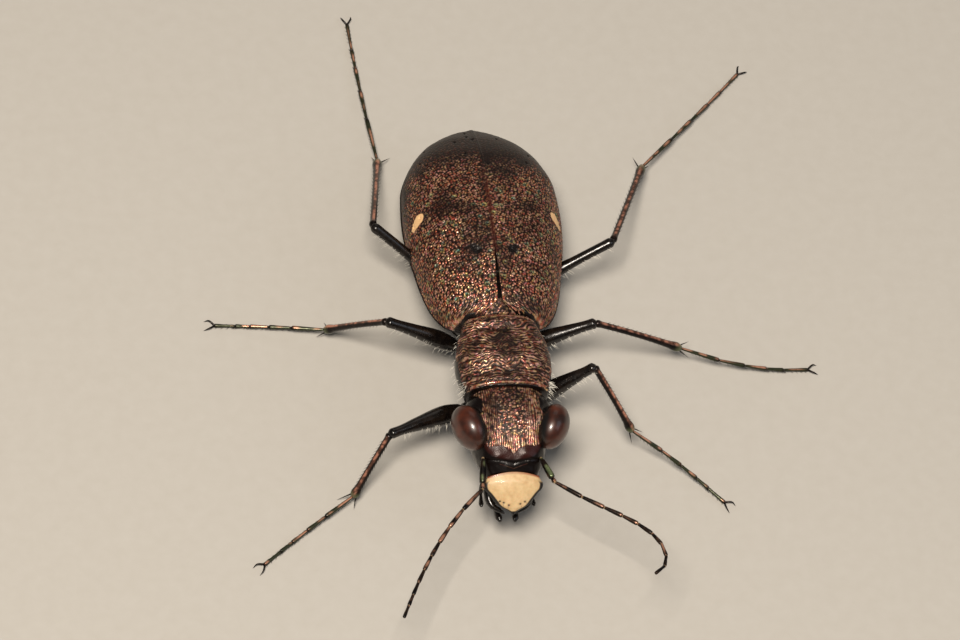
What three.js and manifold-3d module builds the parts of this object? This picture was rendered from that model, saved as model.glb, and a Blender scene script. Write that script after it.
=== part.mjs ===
// A one-spotted tiger beetle, life size, standing with its legs and feelers spread.
// Millimetres, +Z up. The head points along -Y and the beetle's left is on -X.
// The origin is on the floor, under the middle of the beetle's box.

import * as THREE from 'three';
import { mergeVertices } from 'three/addons/utils/BufferGeometryUtils.js';
import Module from 'manifold-3d';

const wasm = await Module();
wasm.setup();

// Driving sizes

const GAP = 0.26; // clearance between neighbouring parts
const THIN = 0.25; // smallest radius of a limb or feeler, except at its tip
const PITCH = THREE.MathUtils.degToRad(5.6); // how far the head is held up
const HIP_HEIGHT = 1.93; // floor to the datum line of the body
const TOE_HEIGHT = 0.12; // floor to the middle of a resting toe
const SIDES = [['left', -1], ['right', 1]];

// Where each plate of the body starts and ends along it, from the front of the head backwards
const LABRUM_BASE = -6.62;
const HEAD_FRONT = -6.36;
const HEAD_BACK = -3.97;
const PROTHORAX_FRONT = -3.7;
const PROTHORAX_BACK = -0.56;
const MESOTHORAX_FRONT = -0.3;
const MESOTHORAX_BACK = 1.15;
const METATHORAX_BACK = 3.1;
const ABDOMEN_BACK = 8.15;
const ELYTRA_FRONT = -0.4;
const ELYTRA_BACK = 9.18;

const ELYTRA_WALL = 0.5;

// Colours of the real surfaces
const COPPER_BROWN = 0x3a2420;
const BLACK_BROWN = 0x17110f;
const EYE_BROWN = 0x5a2f1c;
const IVORY = 0xe3c79a;
const FEELER_GREY = 0x2b2522;

// Shape tools

// A smooth curve through [station, value] sizes that never overshoots them
function curve(...sizes) {
  const at = sizes.map((size) => size[0]);
  const value = sizes.map((size) => size[1]);
  const last = at.length - 1;
  const slope = at.slice(1).map((x, i) => (value[i + 1] - value[i]) / (x - at[i]));
  const tangent = at.map((_, i) => {
    const before = slope[Math.max(i - 1, 0)];
    const after = slope[Math.min(i, last - 1)];
    return before * after > 0 ? (2 * before * after) / (before + after) : 0;
  });
  return (x) => {
    if (x <= at[0]) return value[0];
    if (x >= at[last]) return value[last];
    const i = at.findIndex((_, k) => x < at[k + 1]);
    const span = at[i + 1] - at[i];
    const t = (x - at[i]) / span;
    const rise = t * t * (3 - 2 * t);
    const lift = span * (t * (1 - t) ** 2 * tangent[i] - t * t * (1 - t) * tangent[i + 1]);
    return value[i] * (1 - rise) + value[i + 1] * rise + lift;
  };
}

// Evenly spaced stations from start to end
function stations(start, end, count) {
  return Array.from({ length: count + 1 }, (_, i) => start + ((end - start) * i) / count);
}

// A closed skin over rings of points, with each end drawn in to its middle
function loft(rings) {
  const size = rings[0].length;
  const points = rings.flat();
  const middle = (ring) => ring.reduce((sum, p) => sum.add(p), new THREE.Vector3()).divideScalar(size);
  const first = points.push(middle(rings[0])) - 1;
  const final = points.push(middle(rings[rings.length - 1])) - 1;
  const index = [];
  for (let k = 0; k < size; k += 1) {
    const next = (k + 1) % size;
    for (let r = 0; r + 1 < rings.length; r += 1) {
      const a = r * size + k;
      const b = r * size + next;
      index.push(a, b, b + size, a, b + size, a + size);
    }
    const back = (rings.length - 1) * size;
    index.push(first, next, k, final, back + k, back + next);
  }
  return closed(points, index);
}

// A solid from points and triangles, turned so that its faces point out
function closed(points, index) {
  const volume = index.reduce((sum, _, i) => {
    if (i % 3) return sum;
    const [a, b, c] = [points[index[i]], points[index[i + 1]], points[index[i + 2]]];
    return sum + a.dot(new THREE.Vector3().crossVectors(b, c));
  }, 0);
  const faces = volume < 0 ? index.slice().reverse() : index;
  const geometry = new THREE.BufferGeometry().setFromPoints(points);
  geometry.setIndex(faces);
  return solid(geometry);
}

// A three.js geometry as a solid that can be cut and joined
function solid(geometry) {
  const bare = geometry.clone();
  bare.deleteAttribute('normal');
  bare.deleteAttribute('uv');
  const merged = mergeVertices(bare, 1e-5);
  return new wasm.Manifold(new wasm.Mesh({
    numProp: 3,
    vertProperties: Float32Array.from(merged.attributes.position.array),
    triVerts: Uint32Array.from(merged.index.array),
  }));
}

// Pieces fused into one
function fuse(pieces) {
  return pieces.reduce((whole, piece) => whole.add(piece));
}

// A solid with the space of its neighbours cut away
function clear(body, neighbours) {
  return neighbours.reduce((rest, other) => rest.subtract(other), body);
}

// A box given by its lowest and highest corners
function block(low, high) {
  const size = high.map((value, i) => value - low[i]);
  const box = new THREE.BoxGeometry(...size);
  box.translate(...low.map((value, i) => value + size[i] / 2));
  return solid(box);
}

// A point of the unit circle squared off by a power above 2, as [across, up]
function squircle(turn, power) {
  const shape = (v) => Math.sign(v) * Math.abs(v) ** (2 / power);
  return [shape(Math.cos(turn)), shape(Math.sin(turn))];
}

// A ring across the body: half width, top, height of the widest place, and bottom
function bodyRing(s, { half, top, side, bottom, power = 2.3, under = 1.8 }, count = 24) {
  return Array.from({ length: count }, (_, i) => {
    const turn = (2 * Math.PI * i) / count;
    const upper = turn <= Math.PI;
    const [across, up] = squircle(turn, upper ? power : under);
    return new THREE.Vector3(half * across, s, side + up * (upper ? top - side : side - bottom));
  });
}

// A ring across a dome that is flat below
function domeRing(s, { half, top, margin, base }, count = 20) {
  const arch = Array.from({ length: count + 1 }, (_, i) => {
    const [across, up] = squircle((Math.PI * i) / count, 2.2);
    return new THREE.Vector3(half * across, s, margin + up * (top - margin));
  });
  return [...arch, new THREE.Vector3(-half, s, base), new THREE.Vector3(half, s, base)];
}

// A limb along a path of points: rings square to it, with a radius for each share of its length.
// Steps other than 0 smooth the path into that many lengths.
function limb(path, radius, { sides = 8, steps = 0 } = {}) {
  const route = new THREE.CatmullRomCurve3(path);
  const count = steps || path.length - 1;
  const share = stations(0, 1, count);
  const points = steps ? share.map((t) => route.getPointAt(t)) : path;
  const long = points.map((p, i) => (i ? p.distanceTo(points[i - 1]) : 0));
  const total = long.reduce((sum, d) => sum + d, 0);
  let normal = null;
  let run = 0;
  const rings = points.map((p, i) => {
    run += long[i];
    const ahead = points[Math.min(i + 1, count)].clone().sub(points[Math.max(i - 1, 0)]).normalize();
    const seed = normal || (Math.abs(ahead.z) < 0.9 ? new THREE.Vector3(0, 0, 1) : new THREE.Vector3(0, 1, 0));
    normal = seed.clone().addScaledVector(ahead, -seed.dot(ahead)).normalize();
    const across = new THREE.Vector3().crossVectors(ahead, normal);
    const r = radius(run / total);
    return Array.from({ length: sides }, (_, k) => {
      const turn = (2 * Math.PI * (k + 0.5)) / sides;
      return p.clone()
        .addScaledVector(across, r * Math.cos(turn))
        .addScaledVector(normal, r * Math.sin(turn));
    });
  });
  return loft(rings);
}

// An egg shape given by its middle and half sizes
function egg(middle, half, around = 16, rows = 10) {
  const ball = new THREE.SphereGeometry(1, around, rows);
  ball.rotateX(Math.PI / 2);
  ball.scale(...half);
  ball.translate(...middle);
  return solid(ball);
}

// A three.js mesh of a solid's largest closed surface
function part(name, body, colour, roughness, metalness = 0) {
  const whole = body.decompose().reduce((best, piece) => (piece.volume() > best.volume() ? piece : best));
  const { vertProperties, triVerts } = whole.getMesh();
  const geometry = new THREE.BufferGeometry();
  geometry.setAttribute('position', new THREE.BufferAttribute(vertProperties, 3));
  geometry.setIndex(new THREE.BufferAttribute(triVerts, 1));
  geometry.computeVertexNormals();
  const mesh = new THREE.Mesh(geometry, new THREE.MeshStandardMaterial({ color: colour, roughness, metalness }));
  mesh.name = name;
  return mesh;
}

// Outlines of the body, by station along it

const elytra = {
  half: curve([-0.4, 1.6], [-0.15, 1.98], [0.6, 2.38], [2, 2.72], [4.7, 3.06], [6.2, 2.98], [7.4, 2.55],
    [8.3, 1.83], [8.9, 1.02], [9.18, 0.2]),
  top: curve([-0.4, 2.93], [0.6, 3.22], [3.4, 3.42], [5.4, 3.21], [7, 2.8], [8.3, 2.16], [9.18, 1.5]),
  margin: curve([-0.4, 1.75], [1, 1.45], [4, 1.27], [7.5, 1.2], [9.18, 1.22]),
};

const thorax = {
  half: curve([-3.7, 1.56], [-3.3, 1.66], [-2.4, 1.82], [-1.3, 1.68], [-0.85, 1.5], [-0.56, 1.44]),
  top: curve([-3.7, 2.92], [-3.42, 3.02], [-3.15, 2.99], [-2.4, 3.15], [-1.5, 3.1], [-1.15, 2.96],
    [-0.85, 3.06], [-0.56, 2.94]),
};

const belly = curve([-3.7, 0.4], [-2.4, 0.3], [0, 0.3], [2.2, 0.12], [4, 0.22], [6.5, 0.5], [8.15, 0.95]);

const skull = {
  half: curve([-6.36, 1.04], [-6, 1.26], [-5.4, 1.42], [-4.7, 1.5], [-3.97, 1.42]),
  top: curve([-6.36, 1.96], [-5.9, 2.26], [-5.3, 2.56], [-4.6, 2.78], [-3.97, 2.74]),
  side: curve([-6.36, 1.3], [-5.2, 1.2], [-3.97, 1.6]),
  bottom: curve([-6.36, 0.62], [-5.9, 0.2], [-5.3, 0.02], [-4.6, 0.02], [-3.97, 0.4]),
};

const eye = { middle: [1.56, -5.13, 2.2], half: [0.64, 0.86, 0.8] };

// The rear plates lie inside the wing cases, clear of their inner wall
const INSIDE = ELYTRA_WALL + GAP;

function rearRing(s, groove = 0) {
  return bodyRing(s, {
    half: elytra.half(s) - INSIDE - groove,
    top: elytra.top(s) - INSIDE,
    side: elytra.margin(s),
    bottom: belly(s) + groove,
  }, 20);
}

// Legs: where each hip and knee sits, from the body's own frame and from the floor
// socket and hip are in the body's frame for the right side; knee, ankle and toe stand in the room
const LEGS = {
  front: {
    socket: [0.5, -2.45, 0.42],
    hip: [1.0, -2.75, 0.05],
    left: { knee: [-4.29, -4.24, 3.0], ankle: [-5.5, -5.53, 0.55], toe: [-9.01, -8.13], bow: -0.05 },
    right: { knee: [3.42, -2.33, 4.5], ankle: [5.12, -3.57, 1.75], toe: [8.74, -5.88], bow: 0.22 },
    thigh: 0.39,
  },
  mid: {
    socket: [0.5, 0.3, 0.4],
    hip: [0.98, -0.15, 0.05],
    left: { knee: [-4.13, 0.24, 3.6], ankle: [-6.03, 1.64, 0.55], toe: [-10.25, 2.13], bow: -0.06 },
    right: { knee: [3.85, 0.15, 3.45], ankle: [7.48, 0.27, 1.2], toe: [12.65, -0.17], bow: -0.22 },
    thigh: 0.35,
  },
  hind: {
    socket: [0.45, 2.25, 0.3],
    hip: [1.0, 2.3, 0.0],
    left: { knee: [-4.37, 4.3, 3.8], ankle: [-3.47, 9.11, 0.62], toe: [-4.11, 15.75], bow: 0.05 },
    right: { knee: [4.85, 3.65, 3.57], ankle: [6.89, 8.51, 0.98], toe: [11.4, 13.32], bow: -0.01 },
    thigh: 0.29,
  },
};

const HIP_BALL = 0.3;
const TARSOMERES = [0.31, 0.2, 0.17, 0.13, 0.19]; // shares of the foot's length
const CLAW = 0.42;
const SPUR = 0.75;

// A body point seen from the room, and a room point seen from the body
const bodyTurn = new THREE.Matrix4().makeRotationX(-PITCH).setPosition(0, 0, HIP_HEIGHT);
const bodyTurnBack = bodyTurn.clone().invert();
const inRoom = (point) => new THREE.Vector3(...point).applyMatrix4(bodyTurn);

// A solid in the room moved into the body's frame
const inBody = (body) => body.transform(bodyTurnBack.elements);

// The joints of a foot: from the ankle it settles onto the floor, bowed sideways on its way
function footJoints({ ankle, toe, bow }) {
  const start = new THREE.Vector3(...ankle);
  const end = new THREE.Vector3(...toe, TOE_HEIGHT);
  const aside = new THREE.Vector3(start.y - end.y, end.x - start.x, 0).normalize();
  let share = 0;
  return [start, ...TARSOMERES.map((length) => {
    share += length;
    const point = start.clone().lerp(end, share).addScaledVector(aside, 4 * bow * share * (1 - share));
    point.z = TOE_HEIGHT + (start.z - TOE_HEIGHT) * Math.max(1 - share, 0) ** 1.4;
    return point;
  })];
}

// A point a given distance on from a towards b
function onward(a, b, distance) {
  return a.clone().addScaledVector(b.clone().sub(a).normalize(), distance);
}

function femurShape(hip, knee, thigh, grow = 0) {
  const start = onward(hip, knee, HIP_BALL + GAP - grow);
  const end = onward(knee, hip, -grow);
  const swell = curve([0, 0.27], [0.12, thigh * 0.92], [0.35, thigh], [0.7, Math.max(thigh * 0.72, THIN)],
    [0.92, THIN], [1, THIN]);
  const path = stations(0, 1, 8).map((t) => start.clone().lerp(end, t));
  return limb(path, (t) => swell(t) + grow, { sides: 10 });
}

function coxaShape(socket, hip, grow = 0) {
  const path = stations(-0.25, 1, 6).map((t) => socket.clone().lerp(hip, t));
  const shape = curve([0, 0.18], [0.3, 0.42], [0.7, 0.4], [1, HIP_BALL * 0.8]);
  return limb(path, (t) => shape(t) + grow, { sides: 10 });
}

function tibiaShape(knee, ankle, side) {
  const start = onward(knee, ankle, GAP + 0.05);
  const shank = limb(stations(0, 1, 4).map((t) => start.clone().lerp(ankle, t)), () => THIN, { sides: 8 });
  const along = ankle.clone().sub(start).normalize();
  const across = new THREE.Vector3(-along.y, along.x, 0).normalize();
  const spurs = [1, -0.35].map((lean) => {
    const root = onward(ankle, start, 0.16).addScaledVector(across, side * 0.1 * lean);
    const tip = root.clone()
      .addScaledVector(along, SPUR * 0.62)
      .addScaledVector(across, side * lean * 0.55)
      .add(new THREE.Vector3(0, 0, -0.06));
    tip.z = Math.max(tip.z, 0.12);
    return limb([root, tip], (t) => 0.13 - 0.09 * t, { sides: 5 });
  });
  return fuse([shank, ...spurs]);
}

function tarsusShape(joints) {
  const points = [];
  const sizes = [];
  const start = onward(joints[0], joints[1], GAP);
  [start, ...joints.slice(1)].forEach((joint, i, all) => {
    if (i === 0) return;
    const from = all[i - 1];
    const width = THIN - 0.01 * i;
    points.push(from.clone().lerp(joint, i === 1 ? 0 : 0.08), from.clone().lerp(joint, 0.8));
    sizes.push(width * 0.86, width);
  });
  points.push(joints[5]);
  sizes.push(0.16);
  const steps = points.map((p, i) => (i ? p.distanceTo(points[i - 1]) : 0));
  const total = steps.reduce((sum, d) => sum + d, 0);
  let run = 0;
  const shares = steps.map((d, i) => [(run += d) / total, sizes[i]]);
  const foot = limb(points, curve(...shares), { sides: 8 });
  const along = joints[5].clone().sub(joints[4]).setZ(0).normalize();
  const across = new THREE.Vector3(-along.y, along.x, 0);
  const claws = [-1, 1].map((way) => {
    const root = joints[5].clone().addScaledVector(along, -0.12);
    const bend = root.clone().addScaledVector(along, CLAW * 0.55).addScaledVector(across, way * 0.17);
    const tip = root.clone().addScaledVector(along, CLAW).addScaledVector(across, way * 0.2);
    bend.z += 0.05;
    tip.z = 0.06;
    return limb([root, bend, tip], (t) => 0.09 - 0.05 * t, { sides: 5 });
  });
  const floor = block([-30, -30, -1], [30, 30, 0]);
  return fuse([foot, ...claws]).subtract(floor);
}

// Feelers: eleven joints on a turning line. Turn is the angle out from straight ahead and rise
// the angle above level, in degrees, each from the root of the long part to its tip.
const FEELER_LENGTH = 7.3;
const FEELER_JOINTS = [21, 5, 31, 24.5, 20, 17, 17.5, 15, 14.5, 12.5, 14];
const FEELER_ROOT = [1.13, -6.4, 1.75];
const FEELER_SUNK = 0.25; // how far a feeler starts inside the head's outline
const FEELERS = {
  left: { scape: [4, -12], turn: [46, 16], curl: 8, rise: [1, 1] },
  right: { scape: [19, 9], turn: [51, 75], curl: -146, rise: [5, 10] },
};

function feelerPath(side, { scape, turn, curl, rise }) {
  const whole = FEELER_JOINTS.reduce((sum, v) => sum + v, 0);
  const whip = whole - FEELER_JOINTS[0] - FEELER_JOINTS[1];
  const points = [inRoom([side * FEELER_ROOT[0], FEELER_ROOT[1], FEELER_ROOT[2]])];
  let done = 0;
  FEELER_JOINTS.forEach((size, i) => {
    let [out, up] = scape;
    if (i > 1) {
      const t = (done + size / 2) / whip;
      out = turn[0] + (turn[1] - turn[0]) * t + curl * t ** 4;
      up = rise[0] + (rise[1] - rise[0]) * t;
      done += size;
    }
    const [o, u] = [out, up].map(THREE.MathUtils.degToRad);
    const step = new THREE.Vector3(side * Math.sin(o) * Math.cos(u), -Math.cos(o) * Math.cos(u), Math.sin(u));
    points.push(points[i].clone().addScaledVector(step, (size / whole) * FEELER_LENGTH));
  });
  return points;
}

function feelerShape(points, grow = 0) {
  const path = [onward(points[0], points[1], -FEELER_SUNK)];
  points.slice(1).forEach((joint, i) => {
    path.push(points[i].clone().lerp(joint, 0.55), joint.clone());
  });
  const size = curve([0, THIN], [0.12, THIN + 0.02], [0.8, THIN], [0.93, 0.2], [1, 0.12]);
  return limb(path, (t) => size(t) + grow, { sides: 8 });
}

// The mouth: jaws and palps as [across, along, up] for the right side, in the body's frame
const MOUTH = {
  mandible: {
    path: [[0.6, -5.9, 0.32], [0.9, -6.5, 0.22], [0.78, -7.1, 0.02], [0.22, -7.45, -0.1]],
    size: curve([0, 0.3], [0.6, 0.27], [0.85, 0.2], [1, 0.08]),
  },
  palp_maxillary: {
    path: [[0.78, -5.2, -0.05], [0.98, -5.8, -0.4], [1.1, -6.4, -0.42], [1.0, -6.95, -0.34]],
    size: curve([0, 0.25], [0.8, 0.27], [1, 0.16]),
  },
  palp_labial: {
    path: [[0.3, -5.0, -0.1], [0.4, -5.8, -0.6], [0.42, -6.6, -0.78], [0.28, -7.4, -0.7]],
    size: curve([0, 0.25], [0.8, 0.27], [1, 0.16]),
  },
};

function mouthShape({ path, size }, side, grow = 0) {
  const points = path.map(([x, s, h]) => new THREE.Vector3(side * x, s, h));
  return limb(points, (t) => size(t) + grow, { sides: 8, steps: 8 });
}

// The upper lip: a plate that slopes down and forward, widest near its middle
const LIP_SLOPE = THREE.MathUtils.degToRad(43);
const LIP_LENGTH = 1.46;
const LIP_THICK = 0.46;
const LIP_HEIGHT = 1.52;

function labrumShape() {
  const half = curve([0, 0.9], [0.45, 1.08], [0.8, 1.0], [1.18, 0.62], [1.32, 0.38], [1.46, 0.18]);
  const rings = stations(0, LIP_LENGTH, 10).map((v) => {
    const thick = LIP_THICK * (v > 1.25 ? 0.7 : 1);
    return Array.from({ length: 18 }, (_, i) => {
      const [across, up] = squircle((2 * Math.PI * i) / 18, 3);
      const x = half(v) * across;
      const crown = 0.16 * (1 - across * across);
      const lift = up * (thick / 2) + crown;
      return new THREE.Vector3(
        x,
        LABRUM_BASE - v * Math.cos(LIP_SLOPE) - lift * Math.sin(LIP_SLOPE),
        LIP_HEIGHT - v * Math.sin(LIP_SLOPE) + lift * Math.cos(LIP_SLOPE),
      );
    });
  });
  return loft(rings);
}

// The small triangle between the wing cases
function scutellumShape(grow = 0) {
  const half = curve([-0.42, 0.58], [0.05, 0.42], [0.4, 0.12]);
  return loft(stations(-0.42 - grow, 0.4 + grow, 4).map((s) => {
    const wide = half(s) + grow;
    const top = elytra.top(s) + (grow ? 1 : 0.02);
    const bottom = elytra.top(s) - ELYTRA_WALL - grow;
    return [[wide, top - 0.04], [0, top], [-wide, top - 0.04], [-wide, bottom], [wide, bottom]]
      .map(([x, h]) => new THREE.Vector3(x, s, h));
  }));
}

// Building the body

const body = new THREE.Group();
body.rotation.x = -PITCH;
body.position.z = HIP_HEIGHT;

const room = new THREE.Group();
room.add(body);

// Each side's hips, thighs and feelers, and the space they need in the body's plates
const coxae = {};
const femora = {};
const spaces = [];
for (const [pair, leg] of Object.entries(LEGS)) {
  for (const [name, side] of SIDES) {
    const [socket, hip] = [leg.socket, leg.hip].map(([x, s, h]) => new THREE.Vector3(side * x, s, h));
    const knee = new THREE.Vector3(...leg[name].knee);
    const hipInRoom = inRoom(hip.toArray());
    coxae[`${pair}_${name}`] = coxaShape(socket, hip);
    femora[`${pair}_${name}`] = femurShape(hipInRoom, knee, leg.thigh);
    spaces.push(coxaShape(socket, hip, GAP));
    spaces.push(inBody(femurShape(hipInRoom, knee, leg.thigh, GAP)));
  }
}

const eyes = SIDES.map(([name, side]) => {
  const middle = [side * eye.middle[0], eye.middle[1], eye.middle[2]];
  return { name, shape: egg(middle, eye.half), space: egg(middle, eye.half.map((v) => v + GAP)) };
});
const feelers = SIDES.map(([name, side]) => {
  const points = feelerPath(side, FEELERS[name]);
  return { name, shape: feelerShape(points), space: inBody(feelerShape(points, GAP)) };
});
const mouthparts = Object.entries(MOUTH).flatMap(([kind, piece]) => SIDES.map(([name, side]) => ({
  name: `${kind}_${name}`,
  shape: mouthShape(piece, side),
  space: mouthShape(piece, side, GAP),
})));

// Head
const headRings = stations(HEAD_BACK, HEAD_FRONT, 11).map((s) => bodyRing(s, {
  half: skull.half(s),
  top: skull.top(s),
  side: skull.side(s),
  bottom: skull.bottom(s),
  power: 2.4,
  under: 2.2,
}));
const headSpaces = [...eyes, ...feelers, ...mouthparts].map((piece) => piece.space);
body.add(part('head', clear(loft(headRings), headSpaces), COPPER_BROWN, 0.45, 0.4));
for (const { name, shape } of eyes) {
  body.add(part(`eye_${name}`, shape, EYE_BROWN, 0.12));
}
body.add(part('labrum', labrumShape(), IVORY, 0.3));
for (const { name, shape } of mouthparts) {
  body.add(part(name, shape, BLACK_BROWN, 0.25));
}

// Prothorax
const prothoraxRings = stations(PROTHORAX_BACK, PROTHORAX_FRONT, 12).map((s) => bodyRing(s, {
  half: thorax.half(s),
  top: thorax.top(s),
  side: 2.0,
  bottom: belly(s),
  power: 2.5,
  under: 1.7,
}));
body.add(part('prothorax', clear(loft(prothoraxRings), spaces), COPPER_BROWN, 0.5, 0.4));

// Middle and rear thorax and the abdomen, under the wing cases
const mesothorax = loft(stations(MESOTHORAX_FRONT, MESOTHORAX_BACK, 4).map((s) => rearRing(s)));
const metathorax = loft(stations(MESOTHORAX_BACK + GAP, METATHORAX_BACK, 5).map((s) => rearRing(s)));
const abdomenStart = METATHORAX_BACK + GAP;
const SEGMENT = (ABDOMEN_BACK - abdomenStart) / 5;
const abdomen = loft([0, 1, 2, 3, 4].flatMap((i) => {
  const s = abdomenStart + SEGMENT * i;
  return [rearRing(s + 0.02, i ? 0.07 : 0), rearRing(s + 0.2), rearRing(s + SEGMENT * 0.94)];
}));
body.add(part('mesothorax', clear(mesothorax, spaces), BLACK_BROWN, 0.35, 0.2));
body.add(part('metathorax', clear(metathorax, spaces), BLACK_BROWN, 0.35, 0.2));
body.add(part('abdomen', clear(abdomen, spaces), BLACK_BROWN, 0.35, 0.2));
body.add(part('scutellum', scutellumShape(), COPPER_BROWN, 0.5, 0.4));

// Wing cases: a domed shell parted along the middle
const shellStations = [ELYTRA_FRONT, -0.2, 0.1, 0.6, 1.3, 2.2, 3.2, 4.2, 5.2, 6.1, 6.9, 7.6, 8.2, 8.65, 8.98, ELYTRA_BACK];
const outside = loft(shellStations.map((s) => domeRing(s, {
  half: elytra.half(s),
  top: elytra.top(s),
  margin: elytra.margin(s),
  base: elytra.margin(s) - 0.02,
})));
const hollowStations = [-1, ...shellStations.filter((s) => s > ELYTRA_FRONT && s < 8.7)];
const hollow = loft(hollowStations.map((s) => domeRing(s, {
  half: elytra.half(s) - ELYTRA_WALL,
  top: elytra.top(s) - ELYTRA_WALL,
  margin: elytra.margin(s) - 0.1,
  base: -2,
})));
const shell = clear(outside, [hollow, scutellumShape(GAP), ...spaces]);
for (const [name, side] of SIDES) {
  const otherHalf = side > 0
    ? block([-9, -9, -9], [GAP / 2, 19, 9])
    : block([-GAP / 2, -9, -9], [9, 19, 9]);
  body.add(part(`elytron_${name}`, shell.subtract(otherHalf), COPPER_BROWN, 0.5, 0.4));
}

// Legs and feelers
for (const [pair, leg] of Object.entries(LEGS)) {
  for (const [name, side] of SIDES) {
    const pose = leg[name];
    const joints = footJoints(pose);
    const knee = new THREE.Vector3(...pose.knee);
    body.add(part(`coxa_${pair}_${name}`, coxae[`${pair}_${name}`], BLACK_BROWN, 0.3));
    room.add(part(`femur_${pair}_${name}`, femora[`${pair}_${name}`], BLACK_BROWN, 0.25));
    room.add(part(`tibia_${pair}_${name}`, tibiaShape(knee, joints[0], side), BLACK_BROWN, 0.35, 0.2));
    room.add(part(`tarsus_${pair}_${name}`, tarsusShape(joints), BLACK_BROWN, 0.4, 0.3));
  }
}
for (const { name, shape } of feelers) {
  room.add(part(`antenna_${name}`, shape, FEELER_GREY, 0.45, 0.2));
}

// The whole beetle, moved so that its origin is under the middle of its box
const beetle = new THREE.Group();
beetle.name = 'tiger_beetle';
beetle.add(room);
const box = new THREE.Box3().setFromObject(room, true);
room.position.set(-(box.min.x + box.max.x) / 2, -(box.min.y + box.max.y) / 2, -box.min.z);

export default beetle;
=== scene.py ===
"""A one-spotted tiger beetle, life size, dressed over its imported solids.

Lengths are millimetres until a mesh is made. A point of the body is given as (across, along, up)
in the beetle's own frame, whose axis is pitched a little above the floor. Legs and feelers are
given in the room.
"""

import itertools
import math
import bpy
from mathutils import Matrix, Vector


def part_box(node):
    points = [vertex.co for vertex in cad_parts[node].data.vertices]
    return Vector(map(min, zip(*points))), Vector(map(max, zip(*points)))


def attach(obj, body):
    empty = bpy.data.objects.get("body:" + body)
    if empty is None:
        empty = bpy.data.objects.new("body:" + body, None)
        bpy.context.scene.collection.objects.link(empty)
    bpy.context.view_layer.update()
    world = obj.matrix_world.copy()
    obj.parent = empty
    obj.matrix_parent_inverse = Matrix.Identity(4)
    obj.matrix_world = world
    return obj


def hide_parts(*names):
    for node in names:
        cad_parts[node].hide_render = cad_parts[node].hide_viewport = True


bl_info = {
    "name": "Tiger beetle figure",
    "version": (1, 0, 0),
    "blender": (4, 5, 0),
    "location": "3D view > Sidebar > Beetle",
    "description": "Builds the cuticle, eyes, bristles and stage of a life-size tiger beetle",
    "category": "Add Mesh",
}

import bpy
import numpy as np
from mathutils import Matrix

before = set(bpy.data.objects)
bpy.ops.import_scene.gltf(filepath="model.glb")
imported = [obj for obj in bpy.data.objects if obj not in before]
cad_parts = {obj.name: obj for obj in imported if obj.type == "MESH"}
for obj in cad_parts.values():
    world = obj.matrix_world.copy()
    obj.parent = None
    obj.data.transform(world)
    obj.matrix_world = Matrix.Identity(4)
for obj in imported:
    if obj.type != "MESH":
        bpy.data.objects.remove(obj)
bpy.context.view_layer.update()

MM = 0.001
SIDES = (("left", -1), ("right", 1))
PAIRS = ("front", "mid", "hind")

# The body's own frame
PITCH = math.radians(5.6)
HIP_HEIGHT = 1.93
EYE_MIDDLE = (1.56, -5.13, 2.2)
EYE_HALF = (0.64, 0.86, 0.8)
EYE_LEAN = 0.22  # how far in its front end leans, for each millimetre forward

# Where the plates of the body start and end along it
HEAD_BACK = -3.72
HEAD_FRONT = -6.72
PROTHORAX = (-3.7, -0.5)
CASES = (-0.56, 9.2)
LIP_BASE = -6.62


def to_room(points):
    """Points of the body turned by its pitch and raised to its height above the floor."""
    x, s, h = np.moveaxis(np.asarray(points, float), -1, 0)
    y = s * math.cos(PITCH) + h * math.sin(PITCH)
    z = HIP_HEIGHT - s * math.sin(PITCH) + h * math.cos(PITCH)
    return np.stack([x, y, z], -1)


def origin_shift():
    """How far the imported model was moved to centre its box: the middle of both packed eyes shows it."""
    corners = [np.array(corner) for side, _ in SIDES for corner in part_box(f"eye_{side}")]
    return np.mean(corners, 0) / MM - to_room((0, EYE_MIDDLE[1], EYE_MIDDLE[2]))


SHIFT = origin_shift()


# Shape tools


def curve(*knots):
    """A smooth function through (place, value) knots that never overshoots them."""
    at, value = np.array(knots, float).T
    slope = np.diff(value) / np.diff(at)
    before, after = np.r_[slope[0], slope], np.r_[slope, slope[-1]]
    product = before * after
    total = np.where(product > 0, before + after, 1)
    tangent = np.where(product > 0, 2 * product / total, 0)

    def shape(place):
        """The value of the curve at each place, held beyond its ends."""
        place = np.clip(place, at[0], at[-1])
        i = np.clip(np.searchsorted(at, place, "right") - 1, 0, len(at) - 2)
        span = at[i + 1] - at[i]
        t = (place - at[i]) / span
        rise = t * t * (3 - 2 * t)
        lift = span * (t * (1 - t) ** 2 * tangent[i] - t * t * (1 - t) * tangent[i + 1])
        return value[i] * (1 - rise) + value[i + 1] * rise + lift

    return shape


def ease(low, high, x):
    """0 below low, 1 above high and an S between them; high may be the smaller one."""
    t = np.clip((x - low) / (high - low), 0, 1)
    return t * t * (3 - 2 * t)


def bell(x, reach):
    """1 at 0, falling either way as a bell curve with its reach."""
    return np.exp(-((x / reach) ** 2))


def spot(x, y, middle, reach):
    """A soft round patch: 1 in its middle, falling as a bell curve with its reach each way."""
    return np.exp(-(((x - middle[0]) / reach[0]) ** 2) - ((y - middle[1]) / reach[1]) ** 2)


def squircle(turn, power):
    """A point of the unit circle squared off by a power above 2, as (across, up)."""
    across, up = np.cos(turn), np.sin(turn)
    return np.sign(across) * abs(across) ** (2 / power), np.sign(up) * abs(up) ** (2 / power)


# Primes that mix the bits of a cell's indexes, and how many low bits make the number
AXIS_PRIMES = np.array([73856093, 19349663, 83492791], np.uint64)
SEED_PRIME, FIRST_PRIME, SECOND_PRIME = 2654435761, 2246822519, 3266489917
LOW_BITS = 0xFFFFFF


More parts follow.
